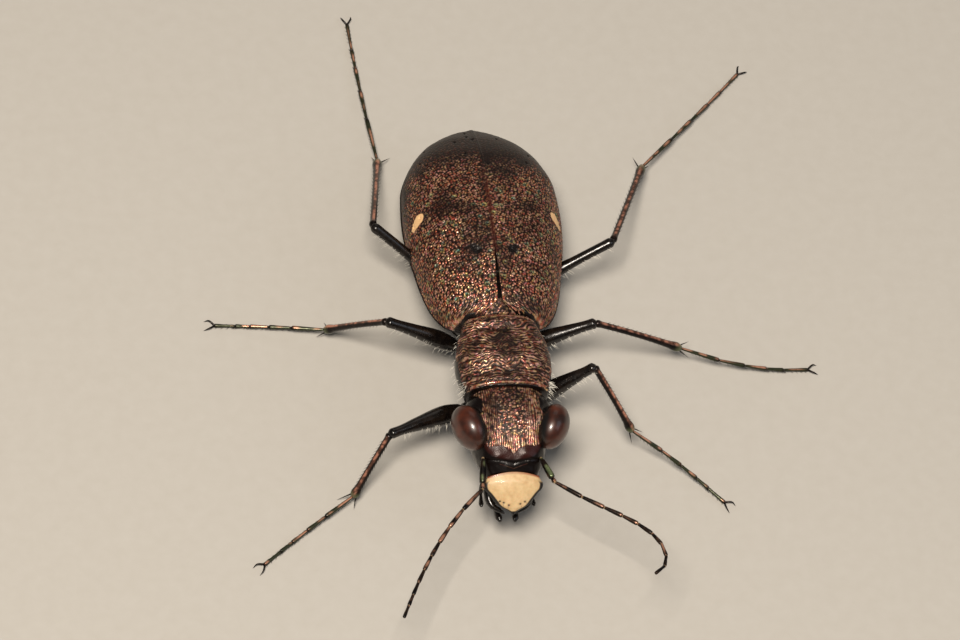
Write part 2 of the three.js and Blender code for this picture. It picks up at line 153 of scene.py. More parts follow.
def scatter(cells, seed):
    """A number from 0 to 1 for each whole-numbered cell: its indexes mixed by large primes."""
    primes = AXIS_PRIMES[: cells.shape[-1]]
    mixed = (cells.astype(np.int64).astype(np.uint64) * primes).sum(-1) + np.uint64(seed * SEED_PRIME)
    mixed = (mixed ^ (mixed >> np.uint64(15))) * np.uint64(FIRST_PRIME)
    mixed = (mixed ^ (mixed >> np.uint64(13))) * np.uint64(SECOND_PRIME)
    return ((mixed >> np.uint64(16)) & np.uint64(LOW_BITS)) / float(LOW_BITS)


def cloud(points, size, seed):
    """Smooth noise from -1 to 1: random corner values of a lattice of that size, blended inside it."""
    scaled = points / size
    base = np.floor(scaled)
    t = scaled - base
    t = t * t * (3 - 2 * t)
    total = 0
    for corner in itertools.product((0, 1), repeat=points.shape[-1]):
        weight = np.where(np.array(corner) == 1, t, 1 - t).prod(-1)
        total = total + weight * scatter(base + corner, seed)
    return total * 2 - 1


def grains(points, size, seed, stray=0.8):
    """One scattered centre in each cell of a lattice: the distance to the nearest in cells, and a
    number from 0 to 1 that belongs to it."""
    scaled = points / size
    base = np.floor(scaled)
    nearest = np.full(points.shape[:-1], np.inf)
    own = np.zeros(points.shape[:-1])
    for step in itertools.product((-1, 0, 1), repeat=points.shape[-1]):
        cell = base + step
        jitter = np.stack([scatter(cell, seed + k) for k in range(points.shape[-1])], -1)
        gap = np.linalg.norm(scaled - cell - 0.5 - stray * (jitter - 0.5), axis=-1)
        closer = gap < nearest
        own = np.where(closer, scatter(cell, seed + 9), own)
        nearest = np.where(closer, gap, nearest)
    return nearest, own


def outward(rings):
    """Unit normals of a closed tube of rings: along its length crossed with round it."""
    along = np.gradient(rings, axis=0)
    around = np.roll(rings, -1, 1) - np.roll(rings, 1, 1)
    normal = np.cross(around, along)
    normal /= np.linalg.norm(normal, axis=-1, keepdims=True) + 1e-12
    middle = rings.mean(1, keepdims=True)
    return normal * np.sign((normal * (rings - middle)).sum())


class Skin:
    """Points, faces by corner numbers, named numbers that each point carries, and each point's place
    on the map where the skin brings its own unwrap."""

    def __init__(self, points, faces, **marks):
        self.points = points
        self.faces = faces
        self.marks = marks
        self.map = None

    def turned_out(self):
        """The same skin with its faces pointing out, told by the sign of its volume."""
        volume = 0
        for block in self.faces:
            a, b, c = (self.points[block[:, k]] for k in (0, 1, 2))
            volume += (a * np.cross(b, c)).sum()
            if block.shape[1] == 4:
                d = self.points[block[:, 3]]
                volume += (a * np.cross(c, d)).sum()
        if volume < 0:
            self.faces = [block[:, ::-1] for block in self.faces]
        return self


def joined(skins):
    """Several skins as one; a mark that one lacks is 0 there."""
    names = sorted({name for skin in skins for name in skin.marks})
    start, faces = 0, []
    for skin in skins:
        faces += [block + start for block in skin.faces]
        start += len(skin.points)
    marks = {
        name: np.concatenate([skin.marks.get(name, np.zeros(len(skin.points))) for skin in skins])
        for name in names
    }
    whole = Skin(np.concatenate([skin.points for skin in skins]), faces, **marks)
    if all(skin.map is not None for skin in skins):
        whole.map = np.concatenate([skin.map for skin in skins])
    return whole


def lattice(rows, columns, around=False):
    """Corner numbers of the four-sided faces of a grid, closed round its columns if asked."""
    last = columns if around else columns - 1
    r, c = np.meshgrid(np.arange(rows - 1), np.arange(last), indexing="ij")
    across = (c + 1) % columns
    near, far = r * columns, (r + 1) * columns
    return np.stack([near + c, near + across, far + across, far + c], -1).reshape(-1, 4)


def loft(rings, **marks):
    """A closed skin over rings of points: a grid round them, and a fan to the middle of each end."""
    count, size = rings.shape[:2]
    points = np.concatenate([rings.reshape(-1, 3), rings[0].mean(0)[None], rings[-1].mean(0)[None]])
    k = np.arange(size)
    after = (k + 1) % size
    back = (count - 1) * size
    fans = np.concatenate([
        np.stack([np.full(size, count * size), after, k], -1),
        np.stack([np.full(size, count * size + 1), back + k, back + after], -1),
    ])
    full = {}
    for name, value in marks.items():
        value = np.broadcast_to(np.asarray(value, float), (count, size))
        full[name] = np.r_[value.ravel(), value[0].mean(), value[-1].mean()]
    return Skin(points, [lattice(count, size, True), fans], **full).turned_out()


def along_path(path, count):
    """Points spread evenly by length on a smooth line through the path, and the share of each."""
    path = np.asarray(path, float)
    run = np.r_[0, np.cumsum(np.linalg.norm(np.diff(path, axis=0), axis=1))]
    share = np.linspace(0, 1, count)
    if len(path) == 2:
        return path[0] + (path[1] - path[0]) * share[:, None], share
    fine = np.linspace(0, run[-1], 40 * len(path))
    i = np.clip(np.searchsorted(run, fine, "right") - 1, 0, len(path) - 2)
    t = ((fine - run[i]) / (run[i + 1] - run[i]))[:, None]
    padded = np.concatenate([2 * path[:1] - path[1:2], path, 2 * path[-1:] - path[-2:-1]])
    a, b, c, d = (padded[i + k] for k in range(4))
    square, cube = 2 * a - 5 * b + 4 * c - d, 3 * b - a - 3 * c + d
    line = 0.5 * (2 * b + (c - a) * t + square * t**2 + cube * t**3)
    length = np.r_[0, np.cumsum(np.linalg.norm(np.diff(line, axis=0), axis=1))]
    even = np.stack([np.interp(share * length[-1], length, line[:, k]) for k in range(3)], -1)
    return even, share


def tube_rings(path, radius, sides, across=(0, 0, 1)):
    """Rings square to a path: its direction crossed with a fixed one gives the ring's own axes.
    Radius is a number for each point of the path."""
    ahead = np.gradient(path, axis=0)
    ahead /= np.linalg.norm(ahead, axis=-1, keepdims=True)
    side = np.cross(ahead, np.asarray(across, float))
    side /= np.linalg.norm(side, axis=-1, keepdims=True)
    rise = np.cross(side, ahead)
    turn = np.linspace(0, 2 * np.pi, sides, endpoint=False)
    radius = np.broadcast_to(np.asarray(radius, float).reshape(-1, 1), (len(path), sides))[..., None]
    return (
        path[:, None]
        + side[:, None] * radius * np.cos(turn)[None, :, None]
        + rise[:, None] * radius * np.sin(turn)[None, :, None]
    )


def spikes(roots, tips, radius, steps=5, sides=5, bend=0.0):
    """Curved tapering spikes as one skin: each runs from its root to its tip, sagging sideways by
    bend times its length, and narrows to a point."""
    count = len(roots)
    run = tips - roots
    length = np.linalg.norm(run, axis=1, keepdims=True)
    ahead = run / length
    lean = np.cross(ahead, [0.0, 0.0, 1.0]) + 1e-9
    lean /= np.linalg.norm(lean, axis=1, keepdims=True)
    rise = np.cross(lean, ahead)
    t = np.linspace(0, 1, steps + 1)[:-1]
    sag = (4 * t * (1 - t))[None, :, None] * length[:, None] * np.reshape(bend, (-1, 1, 1))
    spine = roots[:, None] + run[:, None] * t[None, :, None] + rise[:, None] * sag
    turn = np.linspace(0, 2 * np.pi, sides, endpoint=False)
    wide = radius * (1 - t**1.5)[None, :, None, None]
    rings = spine[:, :, None] + wide * (
        lean[:, None, None] * np.cos(turn)[:, None] + rise[:, None, None] * np.sin(turn)[:, None]
    )
    points = np.concatenate([rings.reshape(count, -1, 3), tips[:, None], roots[:, None]], 1)
    size = points.shape[1]
    quads = lattice(steps, sides, True)
    k = np.arange(sides)
    after = (k + 1) % sides
    last = (steps - 1) * sides
    tip = np.stack([np.full(sides, size - 2), last + k, last + after], -1)
    foot = np.stack([np.full(sides, size - 1), after, k], -1)
    start = (np.arange(count) * size)[:, None, None]
    faces = [(quads + start).reshape(-1, 4), (np.concatenate([tip, foot]) + start).reshape(-1, 3)]
    return Skin(points.reshape(-1, 3), faces).turned_out()


def add_piece(name, skin, look, nodes, in_body=True):
    """Makes the object: its mesh in metres in the frame, its marks as attributes, smooth faces,
    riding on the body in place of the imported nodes."""
    room = (to_room(skin.points) if in_body else skin.points) + SHIFT
    mesh = bpy.data.meshes.new(name)
    mesh.from_pydata(room * MM, [], [face for block in skin.faces for face in block.tolist()])
    for mark, value in skin.marks.items():
        mesh.attributes.new(mark, "FLOAT", "POINT").data.foreach_set("value", value.astype(np.float32))
    if skin.map is not None:
        corner = np.zeros(len(mesh.loops), np.int32)
        mesh.loops.foreach_get("vertex_index", corner)
        places = skin.map[corner].astype(np.float32)
        mesh.uv_layers.new(name="OFBake").uv.foreach_set("vector", places.ravel())
    mesh.shade_smooth()
    mesh.materials.append(material(look))
    piece = bpy.data.objects.new(name, mesh)
    bpy.context.scene.collection.objects.link(piece)
    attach(piece, "root")
    if nodes:
        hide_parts(*nodes)


# Materials


RGB = {"data_type": "RGBA"}
RGB_A, RGB_B, RGB_OUT = 6, 7, 2  # sockets of a Mix node for colours
NUMBER_A, NUMBER_B = 2, 3  # its sockets for numbers
PER_METRE = 1 / MM  # a pattern of one cell a millimetre has this scale

COPPER_METAL = 0.85  # how much of a raised grain mirrors like metal
COPPER_GLOSS = 0.23  # roughness of a crest
GROOVE_GLOSS = 0.43  # roughness of a groove


def linear(code):
    """An sRGB hex colour as the linear red, green, blue and alpha that a shader takes."""
    levels = [int(code[k : k + 2], 16) / 255 for k in (1, 3, 5)]
    return (*(v / 12.92 if v <= 0.04045 else ((v + 0.055) / 1.055) ** 2.4 for v in levels), 1.0)


def put(tree, node, values):
    """Gives a node its values: a property or input is set, and another node's output is linked."""
    for key, value in values.items():
        if isinstance(value, bpy.types.NodeSocket):
            tree.links.new(value, node.inputs[key])
        elif isinstance(key, int) or key in node.inputs:
            node.inputs[key].default_value = value
        else:
            setattr(node, key, value)


def add(tree, kind, values, out=0):
    """Adds one node with its values, and returns one of its outputs."""
    node = tree.nodes.new(kind)
    put(tree, node, values)
    return node.outputs[out]


def new_material(name, *marks):
    """A material, its node tree, its shader, the place of each point, and the marks it carries."""
    made = bpy.data.materials.new(name)
    made.use_nodes = True
    tree = made.node_tree
    place = add(tree, "ShaderNodeTexCoord", {}, "Object")
    read = [add(tree, "ShaderNodeAttribute", {"attribute_name": mark}, "Fac") for mark in marks]
    return made, tree, tree.nodes["Principled BSDF"], place, *read


def copper_cuticle(name, ink, groove, glint, second, smooth, satin):
    """Coppery cuticle of beetles: thin layers that reflect like metal on every raised grain, over a
    dark pigmented floor. Grooves stay dark and dull, crests glint, and rare pits shine green-gold."""
    made, tree, shader, place, crest, bare, green, rust, cream = new_material(
        name, "crest", "bare", "green", "rust", "cream")
    # Layer thickness changes over about a tenth and over half a millimetre
    fine = add(tree, "ShaderNodeTexNoise", {"Scale": 7 * PER_METRE, "Detail": 2.0, "Vector": place})
    broad = add(tree, "ShaderNodeTexNoise", {"Scale": 1.6 * PER_METRE, "Detail": 2.0, "Vector": place})
    drift = add(tree, "ShaderNodeMapRange", {"Value": fine, "From Min": 0.4, "From Max": 0.62})
    shade = add(tree, "ShaderNodeMapRange",
                {"Value": broad, "From Min": 0.36, "From Max": 0.66, "To Min": 0.5, "To Max": 1.0})
    top = add(tree, "ShaderNodeMath", {"operation": "MULTIPLY", 0: crest, 1: shade})
    plain_tone = add(tree, "ShaderNodeMix", {**RGB, 0: drift, RGB_A: glint, RGB_B: second}, RGB_OUT)
    tint = fine.node.outputs["Color"]
    tone = add(tree, "ShaderNodeMix",
               {**RGB, "blend_type": "OVERLAY", 0: 0.8, RGB_A: plain_tone, RGB_B: tint}, RGB_OUT)
    gold = add(tree, "ShaderNodeMix", {**RGB, 0: drift, RGB_A: ink.pit, RGB_B: ink.pit_second}, RGB_OUT)
    colour = groove
    for share, over in ((top, tone), (green, gold), (rust, ink.seam), (bare, smooth), (cream, ink.mark)):
        colour = add(tree, "ShaderNodeMix", {**RGB, 0: share, RGB_A: colour, RGB_B: over}, RGB_OUT)
    # Only the crests and pits mirror like metal
    shine = add(tree, "ShaderNodeMath", {"operation": "MAXIMUM", 0: top, 1: green})
    sheen = add(tree, "ShaderNodeMapRange",
                {"Value": shine, "To Min": 0.3 * COPPER_METAL, "To Max": COPPER_METAL})
    plain = add(tree, "ShaderNodeMath", {"operation": "MAXIMUM", 0: cream, 1: bare})
    kept = add(tree, "ShaderNodeMath", {"operation": "SUBTRACT", "use_clamp": True, 0: 1.0, 1: plain})
    metallic = add(tree, "ShaderNodeMath", {"operation": "MULTIPLY", 0: sheen, 1: kept})
    gloss = add(tree, "ShaderNodeMapRange",
                {"Value": crest, "To Min": GROOVE_GLOSS, "To Max": COPPER_GLOSS})
    rough = add(tree, "ShaderNodeMix", {"data_type": "FLOAT", 0: plain, NUMBER_A: gloss, NUMBER_B: satin})
    # The finest shagreen, a fortieth of a millimetre, drawn as coarse as the picture can show
    shagreen = add(tree, "ShaderNodeTexVoronoi", {"Scale": 22 * PER_METRE, "Vector": place})
    relief = add(tree, "ShaderNodeBump", {"Strength": 0.4, "Distance": 0.008 * MM, "Height": shagreen})
    put(tree, shader, {"Base Color": colour, "Metallic": metallic, "Roughness": rough, "Normal": relief,
                       "Specular IOR Level": 0.3})
    return made


def polished_cuticle(name, ink, base, tint, metal, rough):
    """Bare leg and flank cuticle: black-brown chitin, hard and glossy as lacquer, with a faint
    metallic tint and very fine wrinkles; pale where a joint's skin shows."""
    made, tree, shader, place, green, pale, copper = new_material(name, "green", "pale", "copper")
    drift = add(tree, "ShaderNodeTexNoise", {"Scale": 3.2 * PER_METRE, "Detail": 3.0, "Vector": place})
    mixed = add(tree, "ShaderNodeMapRange", {"Value": drift, "From Min": 0.42, "From Max": 0.72})
    colour = base
    # The copper streak mixed in here is a painted highlight along the upper side of each joint
    for share, tone in ((mixed, tint), (copper, ink.copper), (green, ink.green), (pale, ink.joint)):
        colour = add(tree, "ShaderNodeMix", {**RGB, 0: share, RGB_A: colour, RGB_B: tone}, RGB_OUT)
    grain = add(tree, "ShaderNodeTexNoise", {"Scale": 11 * PER_METRE, "Detail": 3.0, "Vector": place})
    gloss = add(tree, "ShaderNodeMapRange",
                {"Value": grain, "From Min": 0.3, "From Max": 0.7, "To Min": rough, "To Max": rough + 0.14})
    relief = add(tree, "ShaderNodeBump", {"Strength": 0.4, "Distance": 0.01 * MM, "Height": grain})
    put(tree, shader, {"Base Color": colour, "Metallic": metal, "Roughness": gloss, "Normal": relief})
    return made


def eye_cornea(name, ink):
    """Compound eye: thousands of clear lenses over chestnut pigment, smooth and wet-looking from a
    step away. The lenses are a fiftieth of a millimetre, drawn a little coarser."""
    made, tree, shader, place, rim = new_material(name, "rim")
    drift = add(tree, "ShaderNodeTexNoise", {"Scale": 1.4 * PER_METRE, "Detail": 3.0, "Vector": place})
    mixed = add(tree, "ShaderNodeMapRange", {"Value": drift, "From Min": 0.35, "From Max": 0.7})
    colour = ink.eye
    # The rim mark is painted shade, black toward the head
    for share, tone in ((mixed, ink.eye_second), (rim, ink.black)):
        colour = add(tree, "ShaderNodeMix", {**RGB, 0: share, RGB_A: colour, RGB_B: tone}, RGB_OUT)
    lenses = add(tree, "ShaderNodeTexVoronoi",
                 {"Scale": 30 * PER_METRE, "Randomness": 0.15, "Vector": place})
    relief = add(tree, "ShaderNodeBump", {"Strength": 0.25, "Distance": 0.004 * MM, "Height": lenses})
    put(tree, shader, {"Base Color": colour, "Normal": relief, "Roughness": 0.37, "IOR": 1.45,
                       "Specular IOR Level": 0.55, "Coat Weight": 0.4, "Coat Roughness": 0.14})
    return made


def ivory_cuticle(name, ink):
    """Upper lip: unpigmented cuticle, ivory and a little translucent, tanned orange at its root and
    black along its thickened edge."""
    made, tree, shader, place, root, edge = new_material(name, "root", "edge")
    speck = add(tree, "ShaderNodeTexNoise", {"Scale": 5 * PER_METRE, "Detail": 4.0, "Vector": place})
    mixed = add(tree, "ShaderNodeMapRange", {"Value": speck, "From Min": 0.35, "From Max": 0.72})
    colour = ink.lip
    for share, tone in ((mixed, ink.lip_second), (root, ink.lip_root), (edge, ink.black)):
        colour = add(tree, "ShaderNodeMix", {**RGB, 0: share, RGB_A: colour, RGB_B: tone}, RGB_OUT)
    grain = add(tree, "ShaderNodeTexNoise", {"Scale": 16 * PER_METRE, "Detail": 3.0, "Vector": place})
    relief = add(tree, "ShaderNodeBump", {"Strength": 0.25, "Distance": 0.008 * MM, "Height": grain})
    put(tree, shader, {"Base Color": colour, "Normal": relief, "Roughness": 0.46, "Coat Weight": 0.08,
                       "Subsurface Weight": 0.12, "Subsurface Scale": 0.2 * MM})
    return made


def bristle_keratin(name, ink):
    """Bristles: stiff hollow hairs, satin, a little brighter at the side than along the length."""
    made, tree, shader, place = new_material(name)
    tone = getattr(ink, name)
    dim = (*(v * 0.75 for v in tone[:3]), 1.0)
    drift = add(tree, "ShaderNodeTexNoise", {"Scale": 4 * PER_METRE, "Vector": place})
    colour = add(tree, "ShaderNodeMix", {**RGB, 0: drift, RGB_A: tone, RGB_B: dim}, RGB_OUT)
    put(tree, shader, {"Base Color": colour, "Roughness": 0.35, "Sheen Weight": 0.2})
    return made


def studio_paper(name, ink):
    """The floor: matt pale paper with a barely seen tooth."""
    made, tree, shader, place = new_material(name)
    tooth = add(tree, "ShaderNodeTexNoise", {"Scale": 2 * PER_METRE, "Detail": 4.0, "Vector": place})
    colour = add(tree, "ShaderNodeMix",
                 {**RGB, 0: tooth, RGB_A: ink.floor, RGB_B: ink.floor_second}, RGB_OUT)
    put(tree, shader, {"Base Color": colour, "Roughness": 0.9})
    return made


GRAINED, WRINKLED = "granulated_copper_cuticle", "wrinkled_copper_cuticle"
BLACK, BRONZED = "lacquered_black_cuticle", "bronzed_leg_cuticle"


def material(name):
    """The material of that name, made from the scene's colours when a piece first asks for it."""
    ink = bpy.context.scene.beetle_colours
    recipes = {
        GRAINED: (copper_cuticle, ink.case_floor, ink.case_crest, ink.case_second, ink.case_smooth, 0.38),
        WRINKLED: (copper_cuticle, ink.body_floor, ink.body_crest, ink.body_second, ink.body_smooth, 0.28),
        BLACK: (polished_cuticle, ink.black, ink.black_second, 0.0, 0.17),
        BRONZED: (polished_cuticle, ink.leg, ink.leg_second, 0.6, 0.24),
        "bronzed_feeler_cuticle": (polished_cuticle, ink.leg, ink.feeler_second, 0.6, 0.24),
        "white_bristle": (bristle_keratin,),
        "dark_bristle": (bristle_keratin,),
        "eye_cornea": (eye_cornea,),
        "ivory_cuticle": (ivory_cuticle,),
        "studio_paper": (studio_paper,),
    }
    maker, *values = recipes[name]
    return bpy.data.materials.get(name) or maker(name, ink, *values)


# Body outlines, by station along it


case_half = curve((-0.56, 1.2), (-0.4, 1.62), (-0.15, 1.98), (0.6, 2.38), (2, 2.72), (4.7, 3.06),
                  (6.2, 2.98), (7.4, 2.58), (8.3, 1.96), (8.82, 1.3), (9.04, 0.9), (9.14, 0.6),
                  (9.18, 0.4), (9.2, 0.24))
case_top = curve((-0.56, 2.9), (-0.4, 2.96), (0.6, 3.22), (3.4, 3.42), (5.4, 3.21), (7, 2.8), (8.3, 2.16),
                 (9.2, 1.5))
case_margin = curve((-0.56, 1.75), (1, 1.45), (4, 1.27), (7.5, 1.2), (9.2, 1.22))
case_seam = curve((-0.6, 0.85), (-0.4, 0.62), (0.12, 0.08), (1.2, 0.05), (2.4, 0.01), (3, 0.006),
                  (9.2, 0.006))
thorax_half = curve((-3.72, 1.5), (-3.6, 1.58), (-3.3, 1.66), (-2.4, 1.82), (-1.3, 1.68), (-0.85, 1.5),
                    (-0.5, 1.4))
thorax_top = curve((-3.72, 2.86), (-3.6, 2.96), (-3.45, 3.02), (-3.2, 2.98), (-2.4, 3.15), (-1.5, 3.1),
                   (-1.15, 2.96), (-0.85, 3.06), (-0.5, 2.9))
belly = curve((-3.7, 0.4), (-2.4, 0.3), (0, 0.3), (2.2, 0.12), (4, 0.22), (6.5, 0.5), (8.15, 0.95))
skull_half = curve((-6.72, 0.92), (-6.36, 1.1), (-6, 1.26), (-5.4, 1.4), (-4.9, 1.5), (-4.5, 1.66),
                   (-4.15, 1.66), (-3.72, 1.46))
skull_top = curve((-6.72, 1.62), (-6.36, 1.96), (-5.9, 2.26), (-5.3, 2.56), (-4.6, 2.8), (-4.1, 2.86),
                  (-3.72, 2.8))
skull_side = curve((-6.72, 1.2), (-6.36, 1.3), (-5.2, 1.2), (-3.8, 1.6))
skull_bottom = curve((-6.72, 0.85), (-6.36, 0.62), (-5.9, 0.2), (-5.3, 0.02), (-4.6, 0.02), (-3.8, 0.4))


def rings_across(s, half, top, side, bottom, power, under, count):
    """Rings round a body: a squared-off half circle above its widest line and another below."""
    turn = np.linspace(0, 2 * np.pi, count, endpoint=False)
    upper = turn <= np.pi
    over, below = squircle(turn, power), squircle(turn, under)
    across = np.where(upper, over[0], below[0])
    lift = np.where(upper, over[1] * (top - side)[:, None], below[1] * (side - bottom)[:, None])
    long = np.broadcast_to(s[:, None], lift.shape)
    return np.stack([half[:, None] * across, long, side[:, None] + lift], -1)


# Wing cases: how they are built, and the places of their marks


CASE_POWER = 2.2  # how squared the dome is
CASE_THICKNESS = 0.14
RIM_ROLL, RIM_DROP, RIM_STEPS = 0.045, 0.05, 7
INSIDE_STEPS = 14
CASE_SEEDS = {-1: 11, 1: 37}
REAR_FADE = {-1: (5.9, 7.9), 1: (5.3, 7.5)}  # where the grains give way to the smooth rear end
DIMPLE = (1.36, -0.02)  # beside the front corner
HUMP = (1.1, 0.45)  # the raised shoulder inside it
DARK_CLOUD = (1.62, 4.35)
BLACK_PITS = ((0.66, 2.2), (0.82, 2.36))
PALE_FRONT, PALE_REAR = np.array([(2.85, 3.93, 2.09), (2.48, 4.42, 2.6)])  # ends of the pale spot
PALE_SPECK = (2.26, 4.06, 2.78)  # on the left case only
FOVEA = 0.05  # reach of a shining pit
FOVEA_RING, FOVEA_RING_REACH = 0.07, 0.028  # the middle and reach of its lit ring


def case_rings(s, over):
    """Rings of a right wing case: the dome from seam to margin in so many steps, a small outward
    roll, then in under the body and up the inside."""
    half, margin, seam = (shape(s)[:, None] for shape in (case_half, case_margin, case_seam))
    top = case_top(s)[:, None] - 0.5 * ease(-0.22, -0.6, s)[:, None] ** 1.5
    squared = 2 / CASE_POWER
    start = np.arcsin(np.clip(seam / half, 0, 1) ** (CASE_POWER / 2))
    v = np.linspace(0, 1, over)
    turn = start + (np.pi / 2 - start) * v
    dome = (half * np.sin(turn) ** squared, margin + (top - margin) * np.cos(turn) ** squared)
    turn = np.linspace(0, np.pi, RIM_STEPS + 1)[1:]
    rim = (half + RIM_ROLL * np.minimum(1, half / 0.8) * np.sin(turn),
           margin - RIM_DROP * (1 - np.cos(turn)))
    v = np.linspace(1, 0, INSIDE_STEPS)
    turn = start + (np.pi / 2 - start) * v
    thick = np.minimum(CASE_THICKNESS, half * 0.4)
    inside = ((half - thick * 2) * np.sin(turn) ** squared + seam * (1 - v),
              margin + (top - margin) * np.cos(turn) ** squared - thick)
    bands = [np.stack([x, np.broadcast_to(s[:, None], x.shape), h], -1) for x, h in (dome, rim, inside)]
    return np.concatenate(bands, 1)


def pale_spot(at, side):
    """How much the pale spot covers each point: a club round a line, rounded at its rear end."""
    run = PALE_REAR - PALE_FRONT
    length = np.linalg.norm(run)
    axis = run / length
    t = (at - PALE_FRONT) @ axis / length
    aside = np.linalg.norm(at - PALE_FRONT - ((at - PALE_FRONT) @ axis)[..., None] * axis, axis=-1)
    width = 0.25 * np.clip(t + 0.12, 0, 1) ** 0.55 * np.clip((1 - t) / 0.3, 0, 1) ** 0.5
    cream = ease(width + 0.02, width - 0.02, aside) * (t > 0) * (t < 1)
    if side < 0:
        cream = np.maximum(cream, 0.35 * ease(0.09, 0.04, np.linalg.norm(at - PALE_SPECK, axis=-1)))
    return cream


def wing_case(side, sizes):
    """One wing case: rings along the body with grains, pits and ridges raised on the dome. Grains
    stand in slanting rows, larger where their own number is, and shining pits are scattered between."""
    rows, over = sizes.case_rows, sizes.case_columns
    rings = case_rings(np.linspace(*CASES, rows), over)
    normal = outward(rings)
    dome = rings[:, :over].copy()
    x, long, _ = np.moveaxis(dome, -1, 0)
    v = np.linspace(0, 1, over)
    # Distances along and over the case, for patterns of even size on it
    steps = np.linalg.norm(np.diff(dome, axis=1), axis=-1)
    arc = np.concatenate([np.zeros((rows, 1)), np.cumsum(steps, 1)], 1)
    flat = np.stack([long, arc], -1)
    seed = CASE_SEEDS[side]
    wander = flat + 0.045 * np.stack([cloud(flat, 0.22, seed + 50), cloud(flat, 0.22, seed + 51)], -1)
    slant = np.stack([wander[..., 0] + 0.45 * wander[..., 1], wander[..., 1] - 0.3 * wander[..., 0]], -1)
    near, own = grains(slant, sizes.grain, seed, 0.7)
    grain = ease(0.56, 0.06, near) * (0.35 + 0.65 * own)
    bright = ease(0.52, 0.12, near) * (0.1 + 0.9 * own)
    near, own = grains(flat, sizes.fovea_spacing, seed + 20, 0.9)
    there = (own > 0.3 + 0.35 * ease(2.0, 5.5, long)) * 1.0
    far = near * sizes.fovea_spacing
    fovea = bell(far, FOVEA) * there
    patchy = ease(-0.5, 0.4, cloud(flat, 0.07, seed + 33))
    glint = bell(far - FOVEA_RING, FOVEA_RING_REACH) * there * patchy * np.clip(2.2 * own - 0.5, 0, 1)
    black = spot(arc, long, BLACK_PITS[0], (0.17, 0.15)) + 0.5 * spot(arc, long, BLACK_PITS[1], (0.12, 0.1))
    rear = ease(*REAR_FADE[side], long + 0.3 * cloud(flat, 0.7, seed + 32))
    edge = ease(0.7, 0.9, v)[None, :] * ease(3.0, 5.6, long)
    # Painted shadow: the front slope that rolls under the thorax is made dark and smooth
    rolled = ease(-0.37, -0.43, long)
    # Painted highlight: bright lines along the front bead and the scutellar edge of the case
    painted_hem_highlight = bell(long + 0.35, 0.035) * (x > 0.6)
    painted_hem_highlight = painted_hem_highlight + ease(0.5, 0.2, long) * bell(arc - 0.06, 0.03)
    dull = np.clip(
        0.9 * spot(x, long, DARK_CLOUD, (0.42, 0.34))
        + 0.4 * spot(x, long, DIMPLE, (0.26, 0.2))
        + 0.97 * rear
        + 0.75 * edge
        + 0.5 * ease(0.0, 0.6, cloud(flat, 0.85, seed + 30)),
        0, 1)
    suture = bell(arc - 0.02, 0.05) * ease(1.4, 2.6, long)
    cream = pale_spot(dome, side)
    bulge = (
        sizes.grain_height * (grain - 0.35) * (1 - 0.75 * dull) * (1 - 0.8 * cream)
        - 0.05 * fovea - 0.05 * np.clip(black, 0, 1)
        - 0.04 * spot(x, long, DIMPLE, (0.28, 0.2))
        + 0.004 * cloud(flat, 0.5, seed + 31)
    )
    fade = ease(0, 0.006, v)[None, :] * ease(1.0, 0.985, v)[None, :]
    rings[:, :over] += normal[:, :over] * (bulge * fade + 0.025 * suture)[..., None]
    shoulder = 0.4 * ease(1.2, -0.2, long) + 0.5 * spot(x, long, HUMP, (0.5, 0.35))
    crest = 1.2 * bright * (1 - 0.88 * dull) * (1 + shoulder) * (1 - fovea) * np.clip(1 - 1.5 * black, 0, 1)
    crest = np.clip(crest + 0.7 * painted_hem_highlight, 0, 1)
    # Painted shade: a dark line along the seam, strongest at the front where the cases part
    painted_seam_shade = bell(arc, 0.02) * (0.3 + 0.7 * ease(2.6, 2.2, long))
    bare = np.clip(0.6 * dull + 2 * black + 0.95 * fovea + rolled + 0.8 * painted_seam_shade, 0, 1)
    # Rim and inside carry no marks but are bare
    marks = {
        "crest": (crest * (1 - rolled), 0),
        "bare": (bare * (1 - 0.6 * painted_hem_highlight), 1),
        "green": (glint * (1 - dull) * ease(7.0, 5.0, long), 0),
        "rust": (0.8 * suture * ease(6.8, 4.8, long), 0),
        "cream": (cream, 0),
    }
    size = rings.shape[1]
    full = {name: np.pad(value, ((0, 0), (0, size - over)), constant_values=rest).ravel()
            for name, (value, rest) in marks.items()}
    faces = [lattice(rows, size, True)]
    skin = Skin((rings * (side, 1, 1)).reshape(-1, 3), faces, **full).turned_out()
    ends = [np.arange(size)[::-1][None], (rows - 1) * size + np.arange(size)[None]]
    if not np.array_equal(skin.faces[0], faces[0]):
        ends = [end[:, ::-1] for end in ends]
    skin.faces += ends
    return skin


# Thorax and head: how squared their rings are above and below, and the places of their marks


THORAX_POWERS = (2.5, 1.7)
THORAX_WIDEST = 2.0  # height of the widest line
THORAX_PITS = ((0.06, -1.34), (0.05, -3.12))
THORAX_BLOTCHES = ((1.25, -2.3), (0.45, -1.9))
FRONT_FURROW, REAR_FURROW = -3.52, -0.66
FRONT_HOOP, REAR_HOOP = -3.6, -0.58
SKULL_POWERS = (2.4, 2.2)
SWELLING = (0.66, -6.2)
BROW = (1.14, -5.15)
TEMPLE_BULGE = (1.42, -4.32)
CROWN_HOLLOW = (0, -5.75)
CROWN_BLOTCHES = ((-0.62, -4.3), (0.35, -4.15))
EYE_BLOTCH = (0.75, -4.9)


